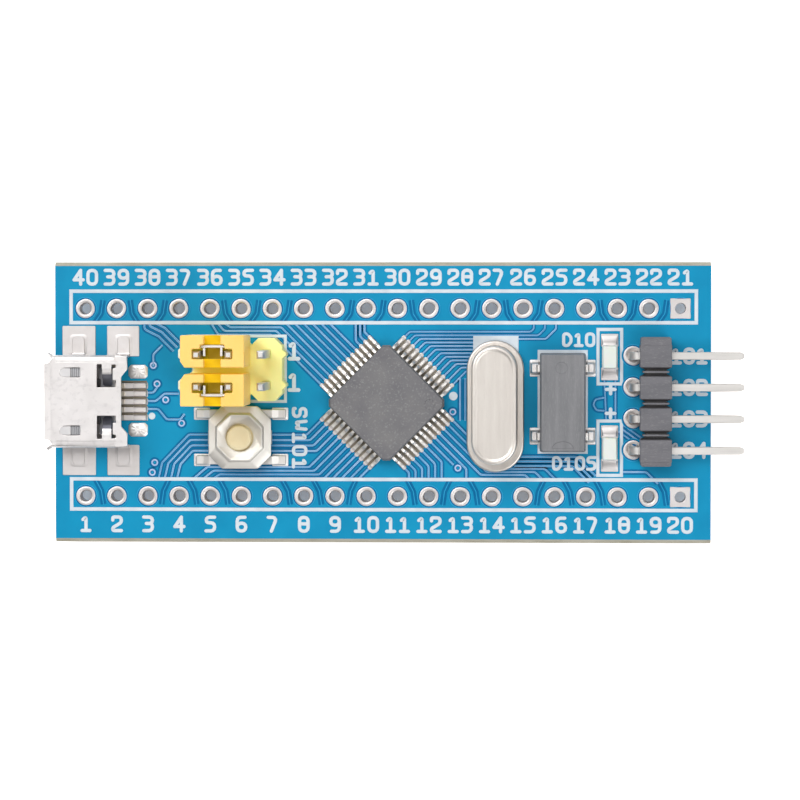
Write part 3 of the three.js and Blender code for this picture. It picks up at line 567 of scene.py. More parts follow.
def plated_holes():
    """Each hole has a ring of solder-coated copper on both faces, joined by the plated barrel."""
    shape, depth = Shape(), -THICK
    for i, (x, y, r) in enumerate(HOLES):
        rim, inner = r + 0.32, r - 0.06
        if i < EMPTY and x == ROW_XS[-1]:
            for z0, z1 in ((0.0, PAD_Z), (depth - PAD_Z, depth)):
                shape.plate([pad_loop(x, y, rim, rim, 0.06, 2), circle(x, y, inner, 24)[::-1]], z0, z1, 0.03)
            shape.lathe([(r + 0.01, depth), (r + 0.01, 0), (inner, 0), (inner, depth)], x, y, 24, closed=True)
            continue
        shape.lathe([(rim, 0.0), (rim - 0.01, 0.03), (rim - 0.05, 0.05), (r + 0.06, 0.055),
                     (inner + 0.04, 0.01), (inner, -0.1), (inner, depth + 0.1), (inner + 0.04, depth - 0.01),
                     (r + 0.1, depth - 0.06), (rim - 0.1, depth - 0.055), (rim - 0.02, depth - 0.03),
                     (rim, depth), (r + 0.005, depth + 0.02), (r + 0.005, -0.02)],
                    x, y, 24, closed=True, wobble=0.03, seed=i)
    piece("board_plated_holes", shape, [PAD])


def gap_ring(shape, x, y, r0, r1, z1, place=None):
    shape.plate([circle(x, y, r1, 28), circle(x, y, r0, 28)[::-1]], -0.01, z1, place=place)


def smd_pad(shape, x, y, hx, hy, radius, top=PAD_Z):
    """A flat solder-coated pad."""
    shape.plate([pad_loop(x, y, hx, hy, radius)], -0.01, top, 0.04)


def through_joint(shape, x, y, rim, core, tall=0.75):
    """Solder that climbs a pin below the board."""
    profile = [(core, -THICK - tall), (core + 0.06, -THICK - tall * 0.7), (core + 0.2, -THICK - 0.25),
               (rim - 0.05, -THICK - 0.06), (rim, -THICK), (core, -THICK + 0.1)]
    shape.lathe(profile, x, y, 24, wobble=0.03, seed=int(x * 7 + y * 3))


# ---- copper under the mask

def tracks():
    """Tracks raised under the mask, each in a darker moat where the copper pour is etched away."""
    gaps, lines = Shape(), Shape()

    def track(path, width=0.2, radius=0.3, moat=0.13, edge=1):
        path = bend(path, radius, 2)
        # Each lies at a height of its own, so that no two faces coincide.
        lift = 0.0025 * (len(gaps.points) % 5)
        gaps.ribbon(path, width + 2 * moat, -0.01, GAP_Z + lift)
        # With edge 1 a track's sloping sides take the painted highlight; with edge 0 they stay plain.
        lines.ribbon(path, width, -0.01, TRACK_Z + lift, 0.06, edge, ends=True)

    def bundle(path, count, pitch, width=0.2):
        for i in range(count):
            track(beside(path, (i - (count - 1) / 2) * pitch), width)

    def via(x, y, radius=0.3):
        gap_ring(gaps, x, y, 0.1, radius + 0.14, GAP_Z - 0.0013)
        # A via's raised ring takes the track edges' painted highlight all over.
        lines.lathe([(0.14, -0.01), (radius, -0.01), (radius - 0.05, TRACK_Z), (0.18, TRACK_Z)],
                    x, y, 20, 1, closed=True)

    chip, tip = box_of("mcu_package"), 4.62

    def lead(side, i):
        """The place just beyond the i-th lead's foot on a side, and the way out of it."""
        a = math.radians(45 + 90 * side)
        out = Vector((math.cos(a), math.sin(a)))
        return Vector((chip.x, chip.y)) + out * tip + Vector((-out.y, out.x)) * (i - 5.5) * LEAD_PITCH, out

    def fan(side, i, y, *rest, width=0.18, moat=0.13):
        """From a lead's foot, out along it until it reaches a height on the board, and on from there."""
        start, out = lead(side, i)
        turn = start + out * ((y - start.y) / out.y)
        track([tuple(start - out * 0.5), tuple(turn), *rest], width, moat=moat)

    top, bottom = ROW_Y - 1.14, -ROW_Y + 1.36
    for i in range(12):
        # Right of the chip, upper side: level runs under the crystal, three of which turn up at its far side.
        y, x = 2.55 + 0.29 * i, 12.3 + 0.9 * (11 - i)
        ends = [(x - (top - 0.5 - y), y), (x, top - 0.5), (x, top)] if i > 8 else [(9.3, y)]
        fan(0, i, y, *ends, width=0.16, moat=0.08)
    for i in range(12):
        # Lower side: short falls to the row of holes, then long diagonals that pass below the crystal.
        start, out = lead(3, i)
        if i in (6, 11):
            fan(3, i, start.y + out.y * (2.7 if i == 6 else 4.4))
        elif i < 8:
            x = 6.85 if i == 7 else 2.2 + 0.53 * i
            track([tuple(start - out * 0.5), (x, start.y - max(0.3, x - start.x)), (x, bottom)], 0.18)
        else:
            y, x = 0.25 * i - 7.85, 0.8 * i + 5.2
            fan(3, i, y, (x, y), (x + y - bottom, bottom))
    bundle([(10.8, -4.75), (15.6, -4.75), (16.98, -6.13)], 3, 0.38)
    for i in range(12):
        # Left of the chip, lower side: diagonals to the holes and under the reset switch.
        if i < 4:
            y = -2.62 - 0.44 * i
            fan(2, i, y, (0.1 * i - 15.7, y), (0.5 * i - 17.9, y - 2.3 + 0.4 * i), (0.5 * i - 18.2, bottom))
        elif i < 8:
            y = -4.05 - 0.3 * i
            fan(2, i, y, (0.5 * i - 16.2, y), (0.8 * i - 18.6, bottom))
        else:
            fan(2, i, bottom)
    for i in range(12):
        # Upper side: straight up to the holes, or up and to the left, the last three over the boot header.
        start, y = lead(1, i)[0], 8.8 - 0.3 * i
        if i < 3:
            fan(1, i, start.y + 0.5, (start.x - 0.5, top))
        elif i < 9:
            fan(1, i, top)
        else:
            fan(1, i, y, (-7.8 - 0.5 * i, y), (-8.4 - 0.5 * i, top))
    bundle([(-18.9, top), (-18.9, 6.2), (-17.9, 5.7), (-16.7, 4.5)], 3, 0.42)
    track([(-18.6, 3.0), (-18.6, 3.9), (-17.9, 4.6)], 0.16)
    bundle([(6.55, 1.9), (6.55, -1.4)], 2, 0.42, 0.16)
    # Round the socket's contacts.
    track([(-19.3, 0.1), (-18.4, 0.1), (-17.7, 0.7), (-16.6, 0.7)], 0.18)
    track([(-19.3, -0.55), (-18.2, -0.55), (-17.5, -1.4), (-16.4, -1.4), (-16.1, -1.0)], 0.18)
    track([(-19.3, 0.78), (-18.6, 0.78), (-18.3, 1.2)], 0.18)
    for x, y in ((-18.3, 1.5), (-17.6, 0.2), (-18.6, 3.0), (-18.5, -4.9), (-18.7, -5.7), (5.75, -0.75),
                 (-16.3, -1.7), (6.17, -5.3)):
        via(x, y)
    # By the lamps and the debug header.
    track([(17.95, 0.4), (17.3, 0.3), (17.1, -0.15), (17.35, -0.6), (17.95, -0.65)], 0.16)
    bundle([(19.4, -2.1), (20.8, -3.1)], 3, 0.32, 0.16)
    track([(19.4, -5.6), (21.4, -5.6), (22.3, -6.5)], 0.18)
    track([(18.0, 1.9), (18.15, -1.3)], 0.14)
    track([(18.9, 1.9), (18.9, -1.3)], 0.14)
    # Between the holes of each row, with no painted highlight on the track edges.
    for k, x in enumerate(ROW_XS[:-1]):
        middle = x + PITCH / 2
        for side in (1, -1):
            lean = 0.5 if (k * 5 + side) % 3 else -0.45
            if (k + side) % 4:
                start = top if side > 0 else bottom
                track([(middle - lean, start), (middle, side * 7.2), (middle + lean / 3, side * 8.3)],
                      0.12, moat=0.17, edge=0)
    for x, y, r in HOLES:
        gap_ring(gaps, x, y, r + 0.25, r + 0.38, TRACK_Z + 0.016)
        lines.plate([circle(x, y, r + 0.44, 32), circle(x, y, r + 0.375, 32)[::-1]], -0.01, TRACK_Z + 0.014)
    piece("board_etched_gaps", gaps, [GAP])
    piece("board_tracks", lines, [TRACK, TRACK_EDGE_GLINT])


# ---- legend

def legend():
    shape = Shape()
    for y0, y1 in ((6.47, 9.03), (-8.7, -6.24)):
        frame_line(shape, -25.3, 25.4, y0, y1)
    for i, x in enumerate(ROW_XS):
        write(shape, str(40 - i), x, 10.16, 1.4, 0.29)
        write(shape, str(i + 1), x, -9.9, 1.4, 0.29)
    # Lamps, with their polarity and their designators.
    for lamp, text, sign_y in (("power_led_base", "D10", 1.05), ("user_led_base", "D105", -0.89)):
        b = box_of(lamp)
        frame_line(shape, b.x - 0.94, b.x + 0.96, b.y - 2.17, b.y + 2.23, 0.27)
        write(shape, "+", b.x + 0.08, sign_y, 1.5, 0.3)
        side = 1 if b.y > 0 else -1
        write(shape, text, b.x - 2.5 - 0.35 * (len(text) - 3), b.y + 1.3 * side + 0.1, 1.22, 0.27, step=1.55)
    for i, y in enumerate(DEBUG_YS):
        write(shape, f"10{i + 1}", 24.83, y - 0.02, 1.4, 0.3, step=1.5)
    for y in BOOT_YS:
        write(shape, "1", -7.14, y + 0.22, 1.62, 0.33)
    write(shape, "SW101", -6.68, -2.88, 1.3, 0.28, turn=-90)
    boot = box_of("boot_header_housing")
    frame_line(shape, boot.x0 + 0.5, boot.x1 - 0.23, boot.y - 2.62, boot.y + 2.68, 0.25)
    crystal = box_of("crystal_base")
    # A block of ink fills the corners outside the upper end of the crystal's can.
    shape.plate([rectangle(crystal.x - 1.8, crystal.x + 1.87, crystal.y + 4.1, crystal.y + 5.7)], 0.0,
                LEGEND_Z, 0.02)
    watch = box_of("watch_crystal_body")
    frame_line(shape, watch.x - 1.9, watch.x + 1.9, watch.y - 4.05, watch.y + 4.1, 0.26)
    for x, y, r in ((-18.72, -1.12, 0.28), (5.79, 0.53, 0.35)):
        shape.plate([circle(x, y, r, 24)], 0.0, LEGEND_Z, 0.02)
    piece("board_legend", shape, [LEGEND])


# ---- micro-USB socket

TO_X = Matrix(((0, 0, 1, 0), (1, 0, 0, 0), (0, 1, 0, 0), (0, 0, 0, 1)))


def tipped(path, half, radius):
    """Adds stations at the end of a strip's path that round off its tip."""
    end, before = Vector(path[-1]), Vector(path[-2])
    way = (end - before).normalized()
    out, halves = list(path[:-1]), [half] * (len(path) - 1)
    for k in range(5):
        a = math.pi / 2 * k / 4
        out.append(tuple(end - way * radius * (1 - math.sin(a))))
        halves.append(half - radius * (1 - math.cos(a)) * 0.98)
    return out, halves


SOCKET = box_of("usb_shell")
MID, MOUTH, REAR, ROOF = SOCKET.y, SOCKET.x0 + 0.6, SOCKET.x1 - 1.6, SOCKET.z1 - 0.2
SHEET, SIDE, FLAT, EAR = 0.28, 3.72, 3.2, 0.5
FLOOR_END = REAR - 0.5
LEG_XS, FINGER = (-24.7, -21.02), (-22.47, -21.66)
CONTACT_SHIFT = 0.08


def mirrored(points, s):
    """The same loop on side s of the socket's middle line."""
    return anticlockwise([(x, s * y) for x, y in points])


def usb_sleeve(shape, here):
    """The tube of the shell, open along the middle of its roof."""
    half = [(SIDE, ROOF), (SIDE, 1.2), (2.9, SEAT)]
    outer = [(-FLAT, ROOF), *[(-y, z) for y, z in half], *half[::-1], (FLAT, ROOF)]
    a, b = SIDE - SHEET, 2.9 - SHEET * 0.6
    half = [(a, ROOF - SHEET), (a, 1.28), (b, SEAT + SHEET)]
    inner = [(FLAT, ROOF - SHEET), *half, *[(-y, z) for y, z in half[::-1]], (-FLAT, ROOF - SHEET)]
    shape.plate([bend(outer, 0.32, 4) + bend(inner, 0.16)], MOUTH, FLOOR_END, 0.04, place=here @ TO_X)


def usb_roof(shape, here):
    """The roof, with its latch slots and the slits round each spring finger."""
    half = [(MOUTH, FLAT), (REAR + EAR, FLAT), (REAR + EAR, 2.6), (REAR, 2.0)]
    roof = [(x, -y) for x, y in half] + half[::-1]
    latch = [(-25.9, 2.34), (-25.82, 2.56), (-25.58, 2.7), (-25.2, 2.74), (-24.21, 2.74), (-24.21, 1.94),
             (-25.2, 1.94), (-25.58, 1.98), (-25.82, 2.12)]
    # The roof reaches in beside the finger, so the slit there is thin but for its two ends.
    x0, x1, x2 = -22.87, FINGER[1] + 0.08, -21.33
    window = [(x0, 3.0), (x0, 1.15), (x2, 1.15), (x2, 1.72), (x1, 1.72), (x1, 2.66), (x2, 2.7), (x2, 2.97),
              (FINGER[1] - 0.03, 2.97), (FINGER[1] - 0.03, 2.6), (FINGER[0], 2.6), (FINGER[0], 3.0)]
    holes = [rounded(mirrored(hole, s), radius, 2)[::-1]
             for s in (1, -1) for hole, radius in ((latch, 0.1), (window, 0.05))]
    shape.plate([rounded(roof, 0.12, 2), *holes], ROOF - SHEET, ROOF, 0.035, place=here, under=0.02)
    x0 = FLOOR_END - 0.04
    corner = [(x0, 2.9), (REAR + EAR, 2.9), (REAR + EAR, 3.6), (REAR, 3.69), (x0, 3.69)]
    wall = rectangle(x0 + 0.01, REAR, SIDE - SHEET + 0.01, SIDE - 0.01)
    for s in (1, -1):
        shape.plate([mirrored(wall, s)], 1.3, ROOF - 0.2, 0.04, place=here)
        shape.plate([rounded(mirrored(corner, s), 0.1, 2)], ROOF - SHEET, ROOF - 0.012, 0.06, place=here)


def usb_springs(shape, s):
    """One side's spring finger, sprung latch, flared corner of the mouth and board legs."""
    # The finger drops from its root at the side towards the middle of the socket.
    drop = [(-3.1, ROOF - 0.14), (-2.3, ROOF - 0.14), (-1.95, ROOF - 0.3), (-1.3, ROOF - 0.95)]
    finger, halves = tipped(bend(drop, 0.3), 0.38, 0.2)
    # Past its bend the finger is painted dark steel, a painted shade where it drops into the socket.
    bent = [0 if y < -2.05 else 2 for y, _ in finger[1:]]
    shape.band(finger, 0.24, halves, along(sum(FINGER) / 2, MID, -90 * s), 0.03, bent)
    ramp = [(-25.98, ROOF - 0.1), (-25.05, ROOF - 0.2), (-25.0, ROOF - 0.34), (-24.1, ROOF - 0.4)]
    slot = along(0, MID + s * 2.34, 0)
    shape.band(ramp, 0.12, 0.37, slot, 0.03, [3, 4, 4])
    for k in range(5):
        x = -24.95 + 0.16 * k
        shape.band([(x, ROOF - 0.28), (x + 0.08, ROOF - 0.28)], 0.1, 0.36, slot, 0.02, 1)
    flare = bend([(MOUTH + 0.25, s * 3.58), (MOUTH - 0.1, s * 3.6), (MOUTH - 0.46, s * 3.86)], 0.25)
    shape.band(flare, 0.2, [0.42] * (len(flare) - 1) + [0.3], Matrix.Translation((0, MID, 1.92)), 0.02, 5)
    leg, halves = tipped(bend([(3.6, 1.7), (3.6, SEAT + 0.03), (5.2, SEAT + 0.03)], 0.26, 4), 0.5, 0.28)
    paints = [5 if y > 3.9 else 0 for y, _ in leg[1:]]
    for x in LEG_XS:
        shape.band(leg, 0.16, halves, along(x, MID, 90 * s), 0.03, paints)


def usb_lip(shape):
    """The guide lip, which curls up from the mouth."""
    rings = []
    for out, half, rise, soft in ((-0.3, 3.6, 0.002, 0.05), (-0.02, 3.5, 0.003, 0.05), (0.1, 3.3, 0.02, 0.05),
                                  (0.2, 3.14, 0.05, 0.05), (0.36, 3.06, 0.11, 0.05), (0.56, 3.05, 0.17, 0.05),
                                  (0.6, 3.0, 0.18, 0.1)):
        z0, z1 = ROOF - SHEET + rise + soft - 0.05, ROOF + rise - soft + 0.05
        ring = ((-half, z1), (-half, z0), (half, z0), (half, z1))
        rings.append([(MOUTH - out, MID + y, z) for y, z in ring])
    shape.loft(rings)


def usb_insides():
    block, plastic, bare = box_of("usb_insulator"), Shape(), Shape()
    plastic.plate([pad_loop(-22.2, MID, 0.62, 2.7, 0.2)], 0.34, 1.5, 0.05)
    plastic.plate([pad_loop(-22.2, MID, 0.61, 1.05, 0.2)], 1.4, ROOF - SHEET - 0.02, 0.05)
    plastic.plate([pad_loop((block.x0 - 22.7) / 2, MID, (-22.7 - block.x0) / 2, 1.85, 0.15)],
                  1.37, 1.93, 0.08, paint=1)
    piece("usb_socket_insulator", plastic, [GREY, DARK], ["usb_insulator"])
    bare.plate([rectangle(block.x1 - 0.3, -19.12, MID - 1.62, MID + 1.62)], -0.01, 0.022)
    for i in range(5):
        contact, wire = box_of(f"usb_contact_{i + 1}"), Shape()
        foot = SEAT + 0.075
        path = bend([(contact.x0, 1.255), (-21.5, 1.255), (-21.0, foot), (contact.x1, foot)], 0.2)
        wire.band(path, 0.15, 0.22, along(0, contact.y - CONTACT_SHIFT, 0))
        piece(f"usb_socket_contact_{i + 1}", wire, [PAD], [f"usb_contact_{i + 1}"])
    piece("board_bare_window", bare, [BARE])


def folded_solder(shape, x, y, s):
    """An end tab, soldered last, whose solder set in fine folds round the middle."""
    folds, rings = 48, []
    for reach, z, deep in ((1.0, -0.01, 0), (1.0, 0.04, 0), (0.9, 0.09, 0.1), (0.66, 0.12, 0.5),
                           (0.36, 0.135, 0.7), (0.1, 0.14, 0.2)):
        ring = []
        for k in range(folds):
            a = 2 * math.pi * k / folds
            c, d = math.cos(a), math.sin(a)
            e, f = max(abs(c), 0.01), max(abs(d), 0.01)
            edge = min(0.78 / e, 0.56 / f, 1.02 / (abs(c) * 0.9 + abs(d) * 0.9)) * reach
            fold = deep * 0.018 * (math.sin(11 * a + s) + 0.6 * math.sin(17 * a + 2.1))
            ring.append((x + edge * c, y + edge * d, z + fold))
        rings.append(ring)
    shape.loft(rings, 1)


def usb_socket():
    shape, here = Shape(), Matrix.Translation((0, MID, 0))
    usb_sleeve(shape, here)
    usb_roof(shape, here)
    for s in (1, -1):
        usb_springs(shape, s)
    usb_lip(shape)
    piece("usb_socket_shell", shape, [STEEL, STEEL_DIM, STEEL_DARK, LATCH, LATCH_SHADE, PAD],
          ["usb_shell"])
    usb_insides()
    solder = Shape()
    for s in (1, -1):
        for x, x0, x1 in ((LEG_XS[0], -26.02, -23.3), (LEG_XS[1], -22.37, -19.74)):
            smd_pad(solder, (x0 + x1) / 2, MID + s * 4.84, (x1 - x0) / 2, 1.24, 0.1, 0.06)
            pool, leg = (4.6, 0.84, 0.9, 0.3), (4.5, 0.52, 0.74, 0.26)
            outer, inner = (pad_loop(x, MID + s * y, hx, hy, r, 4) for y, hx, hy, r in (pool, leg))
            solder.mound(outer, inner, 0.05, 0.09, belly=0.7)
        folded_solder(solder, -19.84, MID + s * 2.36, s)
    for i in range(5):
        y = box_of(f"usb_contact_{i + 1}").y - CONTACT_SHIFT
        smd_pad(solder, -19.67, y, 0.63, 0.26, 0.08)
        solder.mound(pad_loop(-19.66, y, 0.58, 0.262, 0.1), pad_loop(-19.7, y, 0.46, 0.17, 0.06), 0.04, 0.22,
                     3, belly=1.5)
    piece("usb_socket_solder", solder, [PAD, SOLDER])


# ---- boot header and its jumpers

def boot_pins():
    solder = Shape()
    for i in range(6):
        pin, shape = box_of(f"boot_pin_{i + 1}"), Shape()
        z0, z1 = pin.z0, pin.z1
        shape.loft([at(z, octagon(half, half, half * 0.12, pin.x, pin.y)) for z, half in
                    ((z0, 0.2), (z0 + 0.35, 0.31), (z1 - 0.35, 0.31), (z1 - 0.1, 0.22), (z1, 0.17))])
        piece(f"boot_header_pin_{i + 1}", shape, [WIRE], [f"boot_pin_{i + 1}"])
    for x in BOOT_XS:
        for y in BOOT_YS:
            through_joint(solder, x, y, 0.84, 0.34)
    piece("boot_header_solder", solder, [SOLDER])


def boot_housing():
    shape, corner, tall, cell = Shape(), 0.62, 2.54, PITCH / 2
    left, right, mid_y = BOOT_XS[0] - cell, BOOT_XS[-1] + cell, sum(BOOT_YS) / 2
    top = []
    for x in BOOT_XS:
        top += [(x - cell + corner, PITCH), (x + cell - corner, PITCH), (x + cell, PITCH - corner)]
    # The webs that joined it to its neighbours are snapped off: broad on the left, pointed right.
    end_right = [(right, 1.6), (right + 0.3, 1.35), (right + 0.3, 1.15), (right, 0.9)]
    end_left = [(left + 0.46, 0.1), (left, 0.42), (left, 0.62), (left - 0.3, 0.72), (left - 0.3, 1.85),
                (left, 1.95), (left, PITCH - corner)]
    half = end_left + top + end_right
    outline = [(x, mid_y - y) for x, y in half] + [(x, mid_y + y) for x, y in half[::-1]]
    wells = [octagon(0.315, 0.315, 0.04, x, y)[::-1] for x in BOOT_XS for y in BOOT_YS]
    shape.plate([rounded(outline, 0.09, 2), *wells], 0.0, tall, 0.09, 3)
    for y in BOOT_YS:
        # The snapped webs on the left are painted nearly white, a painted highlight on their rounded ends.
        nub_half = [(left + 0.3, y + 0.56), (left - 0.62, y + 0.5), (left - 0.82, y + 0.3)]
        nub = nub_half + [(x, 2 * y - b) for x, b in nub_half[::-1]]
        shape.plate([rounded(nub, 0.1, 2)], 0.35, tall - 0.3, 0.12, paint=1)
    piece("boot_header_housing_moulding", shape, [LEMON, LEMON_HIGHLIGHT], ["boot_header_housing"])


def jumper(name, s):
    """A cap over the left and middle pins of one row; s is the way that its back faces."""
    cap, shape = box_of(f"boot_jumper_cap_{name}"), Shape()
    x, y, z0, z1 = cap.x, BOOT_YS[0 if s > 0 else 1], cap.z0, cap.z1
    half, groove, deep, back, front = cap.hx, 0.67, 0.9, 1.53, -1.01
    well, w0, w1, niche, w2 = 1.6, -0.34, 0.46, 0.98, 0.8

    def loop(points):
        return anticlockwise([(x + a, y + s * b) for a, b in points])

    left, right = [(0.34 - half, front), (-half, front + 0.5), (-half, back)], [(half, front), (half, back)]
    slot = [(well, w0), (well, w1), (niche, w1), (niche, w2)]
    hole = [(-a, b) for a, b in slot] + slot[::-1]
    web = [(-0.6, w0 - 0.2), (0.6, w0 - 0.2), (0.6, w1 + 0.03), (-0.6, w1 + 0.03)]
    # The body's top, which is the floor of the groove, is painted deeper amber as a painted shade.
    shape.plate([rounded(loop(left + right[::-1]), 0.14), loop(hole)[::-1]], z0, z1 - deep, paint=1, side=0,
                under=0.06)
    shape.plate([loop(web)], z0 + 1.0, z1 - deep - 1.7, 0.04, paint=2)
    # The groove across the top leaves a block at each end, open to the slot in the middle.
    for e, end in ((-1, left), (1, right)):
        block = [(e * a, b) for a, b in
                 [(groove, back), (groove, w2), *slot[::-1], (groove, w0), (groove, front)]] + end
        shape.plate([rounded(loop(block), 0.1)], z1 - deep - 0.02, z1, 0.09, 3, under=0.0)
    piece(f"jumper_{name}_cap", shape, [AMBER, AMBER_GROOVE_SHADE, OLIVE], [f"boot_jumper_cap_{name}"])

    clip, base, arm, bar = Shape(), z0 + 0.9, 0.76, 0.93
    clip.band([(-bar, 0), (bar, 0)], 0.22, 2.15, Matrix.Translation((x, y + s * 0.65, base + 2.15)), 0.04)
    lay = Matrix(((1, 0, 0, x), (0, 0, -1, y + s * 0.22), (0, 1, 0, base), (0, 0, 0, 1)))
    for e in (-1, 1):
        # Each arm stands beside its pin and bows out to press on it.
        bow = ((arm, 0), (arm, 1.0), (arm + 0.06, 2.1), (arm, 3.3), (arm - 0.08, 4.28))
        path = [(e * a, z) for a, z in bow]
        clip.band(bend(path[::-e], 0.8), 0.17, 0.33, lay, 0.03)
    piece(f"jumper_{name}_clip", clip, [TIN], [f"boot_jumper_clip_{name}"])


# ---- reset switch

def reset_cover():
    cover = box_of("reset_switch_cover")
    x, y, half = cover.x, cover.y, cover.hx
    flange, crown = cover.z1 - 0.25, cover.z1

    def ring(r, corner, z):
        """An octagon with eased corners, or a round ring where it has no corner."""
        loop = rounded(octagon(r, r, corner), 0.25, 2) if corner else circle(0, 0, r, 24, -5 * math.pi / 24)
        return [(x + a, y + b, z) for a, b in loop]

    shape = Shape()
    inside = crown - 0.2
    levels = [(half - 0.03, 1.06, flange - 0.2), (half, 1.08, flange - 0.12), (half, 1.08, flange - 0.06),
              (half - 0.07, 1.05, flange), (2.08, 1.1, flange), (1.98, 1.08, flange + 0.03),
              (1.9, 1.07, crown - 0.07), (1.83, 1.05, crown), (1.74, 1.02, crown), (1.7, 1.0, crown - 0.03),
              (1.2, 0, crown - 0.03), (1.12, 0, crown - 0.06), (1.12, 0, inside - 0.02),
              (1.2, 0, inside - 0.03), (1.62, 0.95, inside - 0.03), (1.7, 1.0, flange - 0.2)]
    shape.loft([ring(*level) for level in levels], closed=True)
    for s in (-1, 1):
        # Crimped ears hold the cover to its base.
        ear = [(half - 0.12, flange - 0.08), (half, flange - 0.2), (half - 0.02, 0.45)]
        shape.band(ear, 0.1, 0.55, along(x, y, 0 if s > 0 else 180), 0.02)
    piece("reset_switch_metal_cover", shape, [COVER], ["reset_switch_cover"])


def reset_base():
    base, shape = box_of("reset_switch_base"), Shape()
    here = shifted(base.x, base.y)
    outline = rounded(octagon(base.hx, base.hy, 1.05), 0.12, 2)
    shape.plate([outline], 0.4, 0.5, place=here)
    shape.plate([outline, circle(0, 0, 1.75)[::-1]], 0.5, base.z1, place=here)
    shape.plate([rounded(octagon(base.hx - 0.05, 1.45, 0.3), 0.1, 2)], base.z0, 0.42, 0.04, place=here)
    piece("reset_switch_moulded_base", shape, [DARK], ["reset_switch_base"])


def reset_button():
    press, shape = box_of("reset_switch_plunger"), Shape()
    under, r = box_of("reset_switch_cover").z1 - 0.22, 1.0
    shape.lathe([(0.02, press.z0), (0.6, press.z0), (0.62, press.z0 + 0.05), (0.62, under - 0.2),
                 (1.48, under - 0.2), (1.5, under - 0.17), (1.5, under), (1.03, under + 0.01),
                 (r, under + 0.05), (r - 0.01, press.z1 - 0.12), (r - 0.05, press.z1 - 0.04),
                 (r - 0.13, press.z1), (r - 0.3, press.z1 - 0.01), (0.4, press.z1 - 0.03),
                 (0.02, press.z1 - 0.035)],
                press.x, press.y, 40)
    piece("reset_switch_button", shape, [PLUNGER], ["reset_switch_plunger"])


def reset_dome():
    dome, shape = box_of("reset_switch_dome"), Shape()
    rise, sheet = dome.z1 - dome.z0 - 0.08, 0.08
    bow = [(dome.hx * k / 6, dome.z0 + rise * (1 - (k / 6) ** 2)) for k in range(6, -1, -1)]
    bow = [(max(r, 0.02), z) for r, z in bow]
    shape.lathe([*bow[::-1], *[(r, z + sheet) for r, z in bow]], dome.x, dome.y, 28)
    snap = piece("reset_switch_snap_dome", shape, [STEEL], ["reset_switch_dome"])
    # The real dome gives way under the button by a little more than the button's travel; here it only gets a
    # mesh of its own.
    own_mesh(snap)


def reset_feet():
    solder = Shape()
    out, low, up = box_of("reset_switch_cover").hx, SEAT + 0.075, 0.315
    for name in ("upper", "lower"):
        foot, shape = box_of(f"reset_switch_terminal_{name}"), Shape()
        half = [(out + 0.02, up), (out + 0.5, low), (foot.hx, low)]
        path = [(-x, z) for x, z in half[::-1]] + half
        shape.band(bend(path, 0.25), 0.15, 0.35, along(foot.x, foot.y, 0), 0.04)
        piece(f"reset_switch_feet_{name}", shape, [TIN], [f"reset_switch_terminal_{name}"])
        for s in (-1, 1):
            px = foot.x + s * (foot.hx - 0.42)
            smd_pad(solder, px, foot.y, 0.66, 0.5, 0.1)
            solder.mound(pad_loop(px, foot.y, 0.58, 0.46, 0.14), pad_loop(px, foot.y, 0.42, 0.33, 0.08),
                         0.04, 0.15, 3)
    piece("reset_switch_solder", solder, [SOLDER])


# ---- microcontroller

def mcu_moulding():
    body, shape = box_of("mcu_package"), Shape()
    here, z1, part, half, thick = shifted(body.x, body.y, 0, 45), body.z1, 0.72, 3.5, 0.15

    def outline(inset):
        return rounded(octagon(half - inset, half - inset, 0.4), 0.08, 1)

    shape.stack(outline, [(0.14, body.z0), (0.02, part - 0.01), (0, part), (0, part + thick),
                          (0.03, part + thick + 0.01), (0.1, z1 - 0.05), (0.12, z1 - 0.015), (0.16, z1)],
                place=here, ends=False)
    shape.sheet([outline(0.14)], body.z0, 0, here, down=True)
    # Dimples left by the mould: the first pin's mark and two ejector marks.
    loops = [outline(0.16)]
    for a, b, r, deep in ((2.4, -2.55, 0.42, 0.05), (-2.3, 2.3, 0.5, 0.012), (2.3, 2.3, 0.5, 0.012)):
        loops.append(circle(a, b, r, 28)[::-1])
        steps = [(0, z1), (0.04, z1 - deep * 0.8), (0.1, z1 - deep), (r - 0.02, z1 - deep)]
        shape.stack(lambda inset: circle(a, b, r - inset, 28)[::-1], steps, 0, here, ends=False)
        shape.sheet([circle(a, b, 0.02, 28)], z1 - deep, 0, here)
    shape.sheet(loops, z1, 0, here)
    piece("mcu_moulding", shape, [EPOXY], ["mcu_package"], sharp=30)


def mcu_leads():
    chip, leads, solder, bare = box_of("mcu_package"), Shape(), Shape(), Shape()
    half, thick, foot = 3.5, 0.15, SEAT + 0.075
    path = bend([(half - 0.15, 0.795), (half + 0.3, 0.795), (half + 0.44, foot), (4.5, foot)], 0.14, 2)
    wick = [(4.0, 0.16), (4.12, 0.1), (4.5, 0.1), (4.66, 0.05)]
    for turn in (45, 135, 225, 315):
        a = math.radians(turn)
        for i in range(12):
            s = (i - 5.5) * LEAD_PITCH
            x, y = chip.x - math.sin(a) * s, chip.y + math.cos(a) * s
            leads.band(path, thick, 0.125, along(x, y, turn), 0.03)
            place = shifted(x, y, 0, turn)
            solder.plate([pad_loop(4.26, 0, 0.62, 0.165, 0.12)], -0.01, PAD_Z, 0.04, place=place)
            solder.band(wick, 0.12, [0.13, 0.15, 0.15, 0.13], along(x, y, turn), 0.04)
        place = shifted(chip.x, chip.y, 0, turn)
        bare.plate([rectangle(half - 0.2, 4.72, -2.8, 2.8)], -0.01, 0.024, place=place)
    piece("mcu_bare_windows", bare, [BARE])
    piece("mcu_lead_frame", leads, [TIN], ["mcu_leads"])
    piece("mcu_solder", solder, [PAD])


# ---- crystals

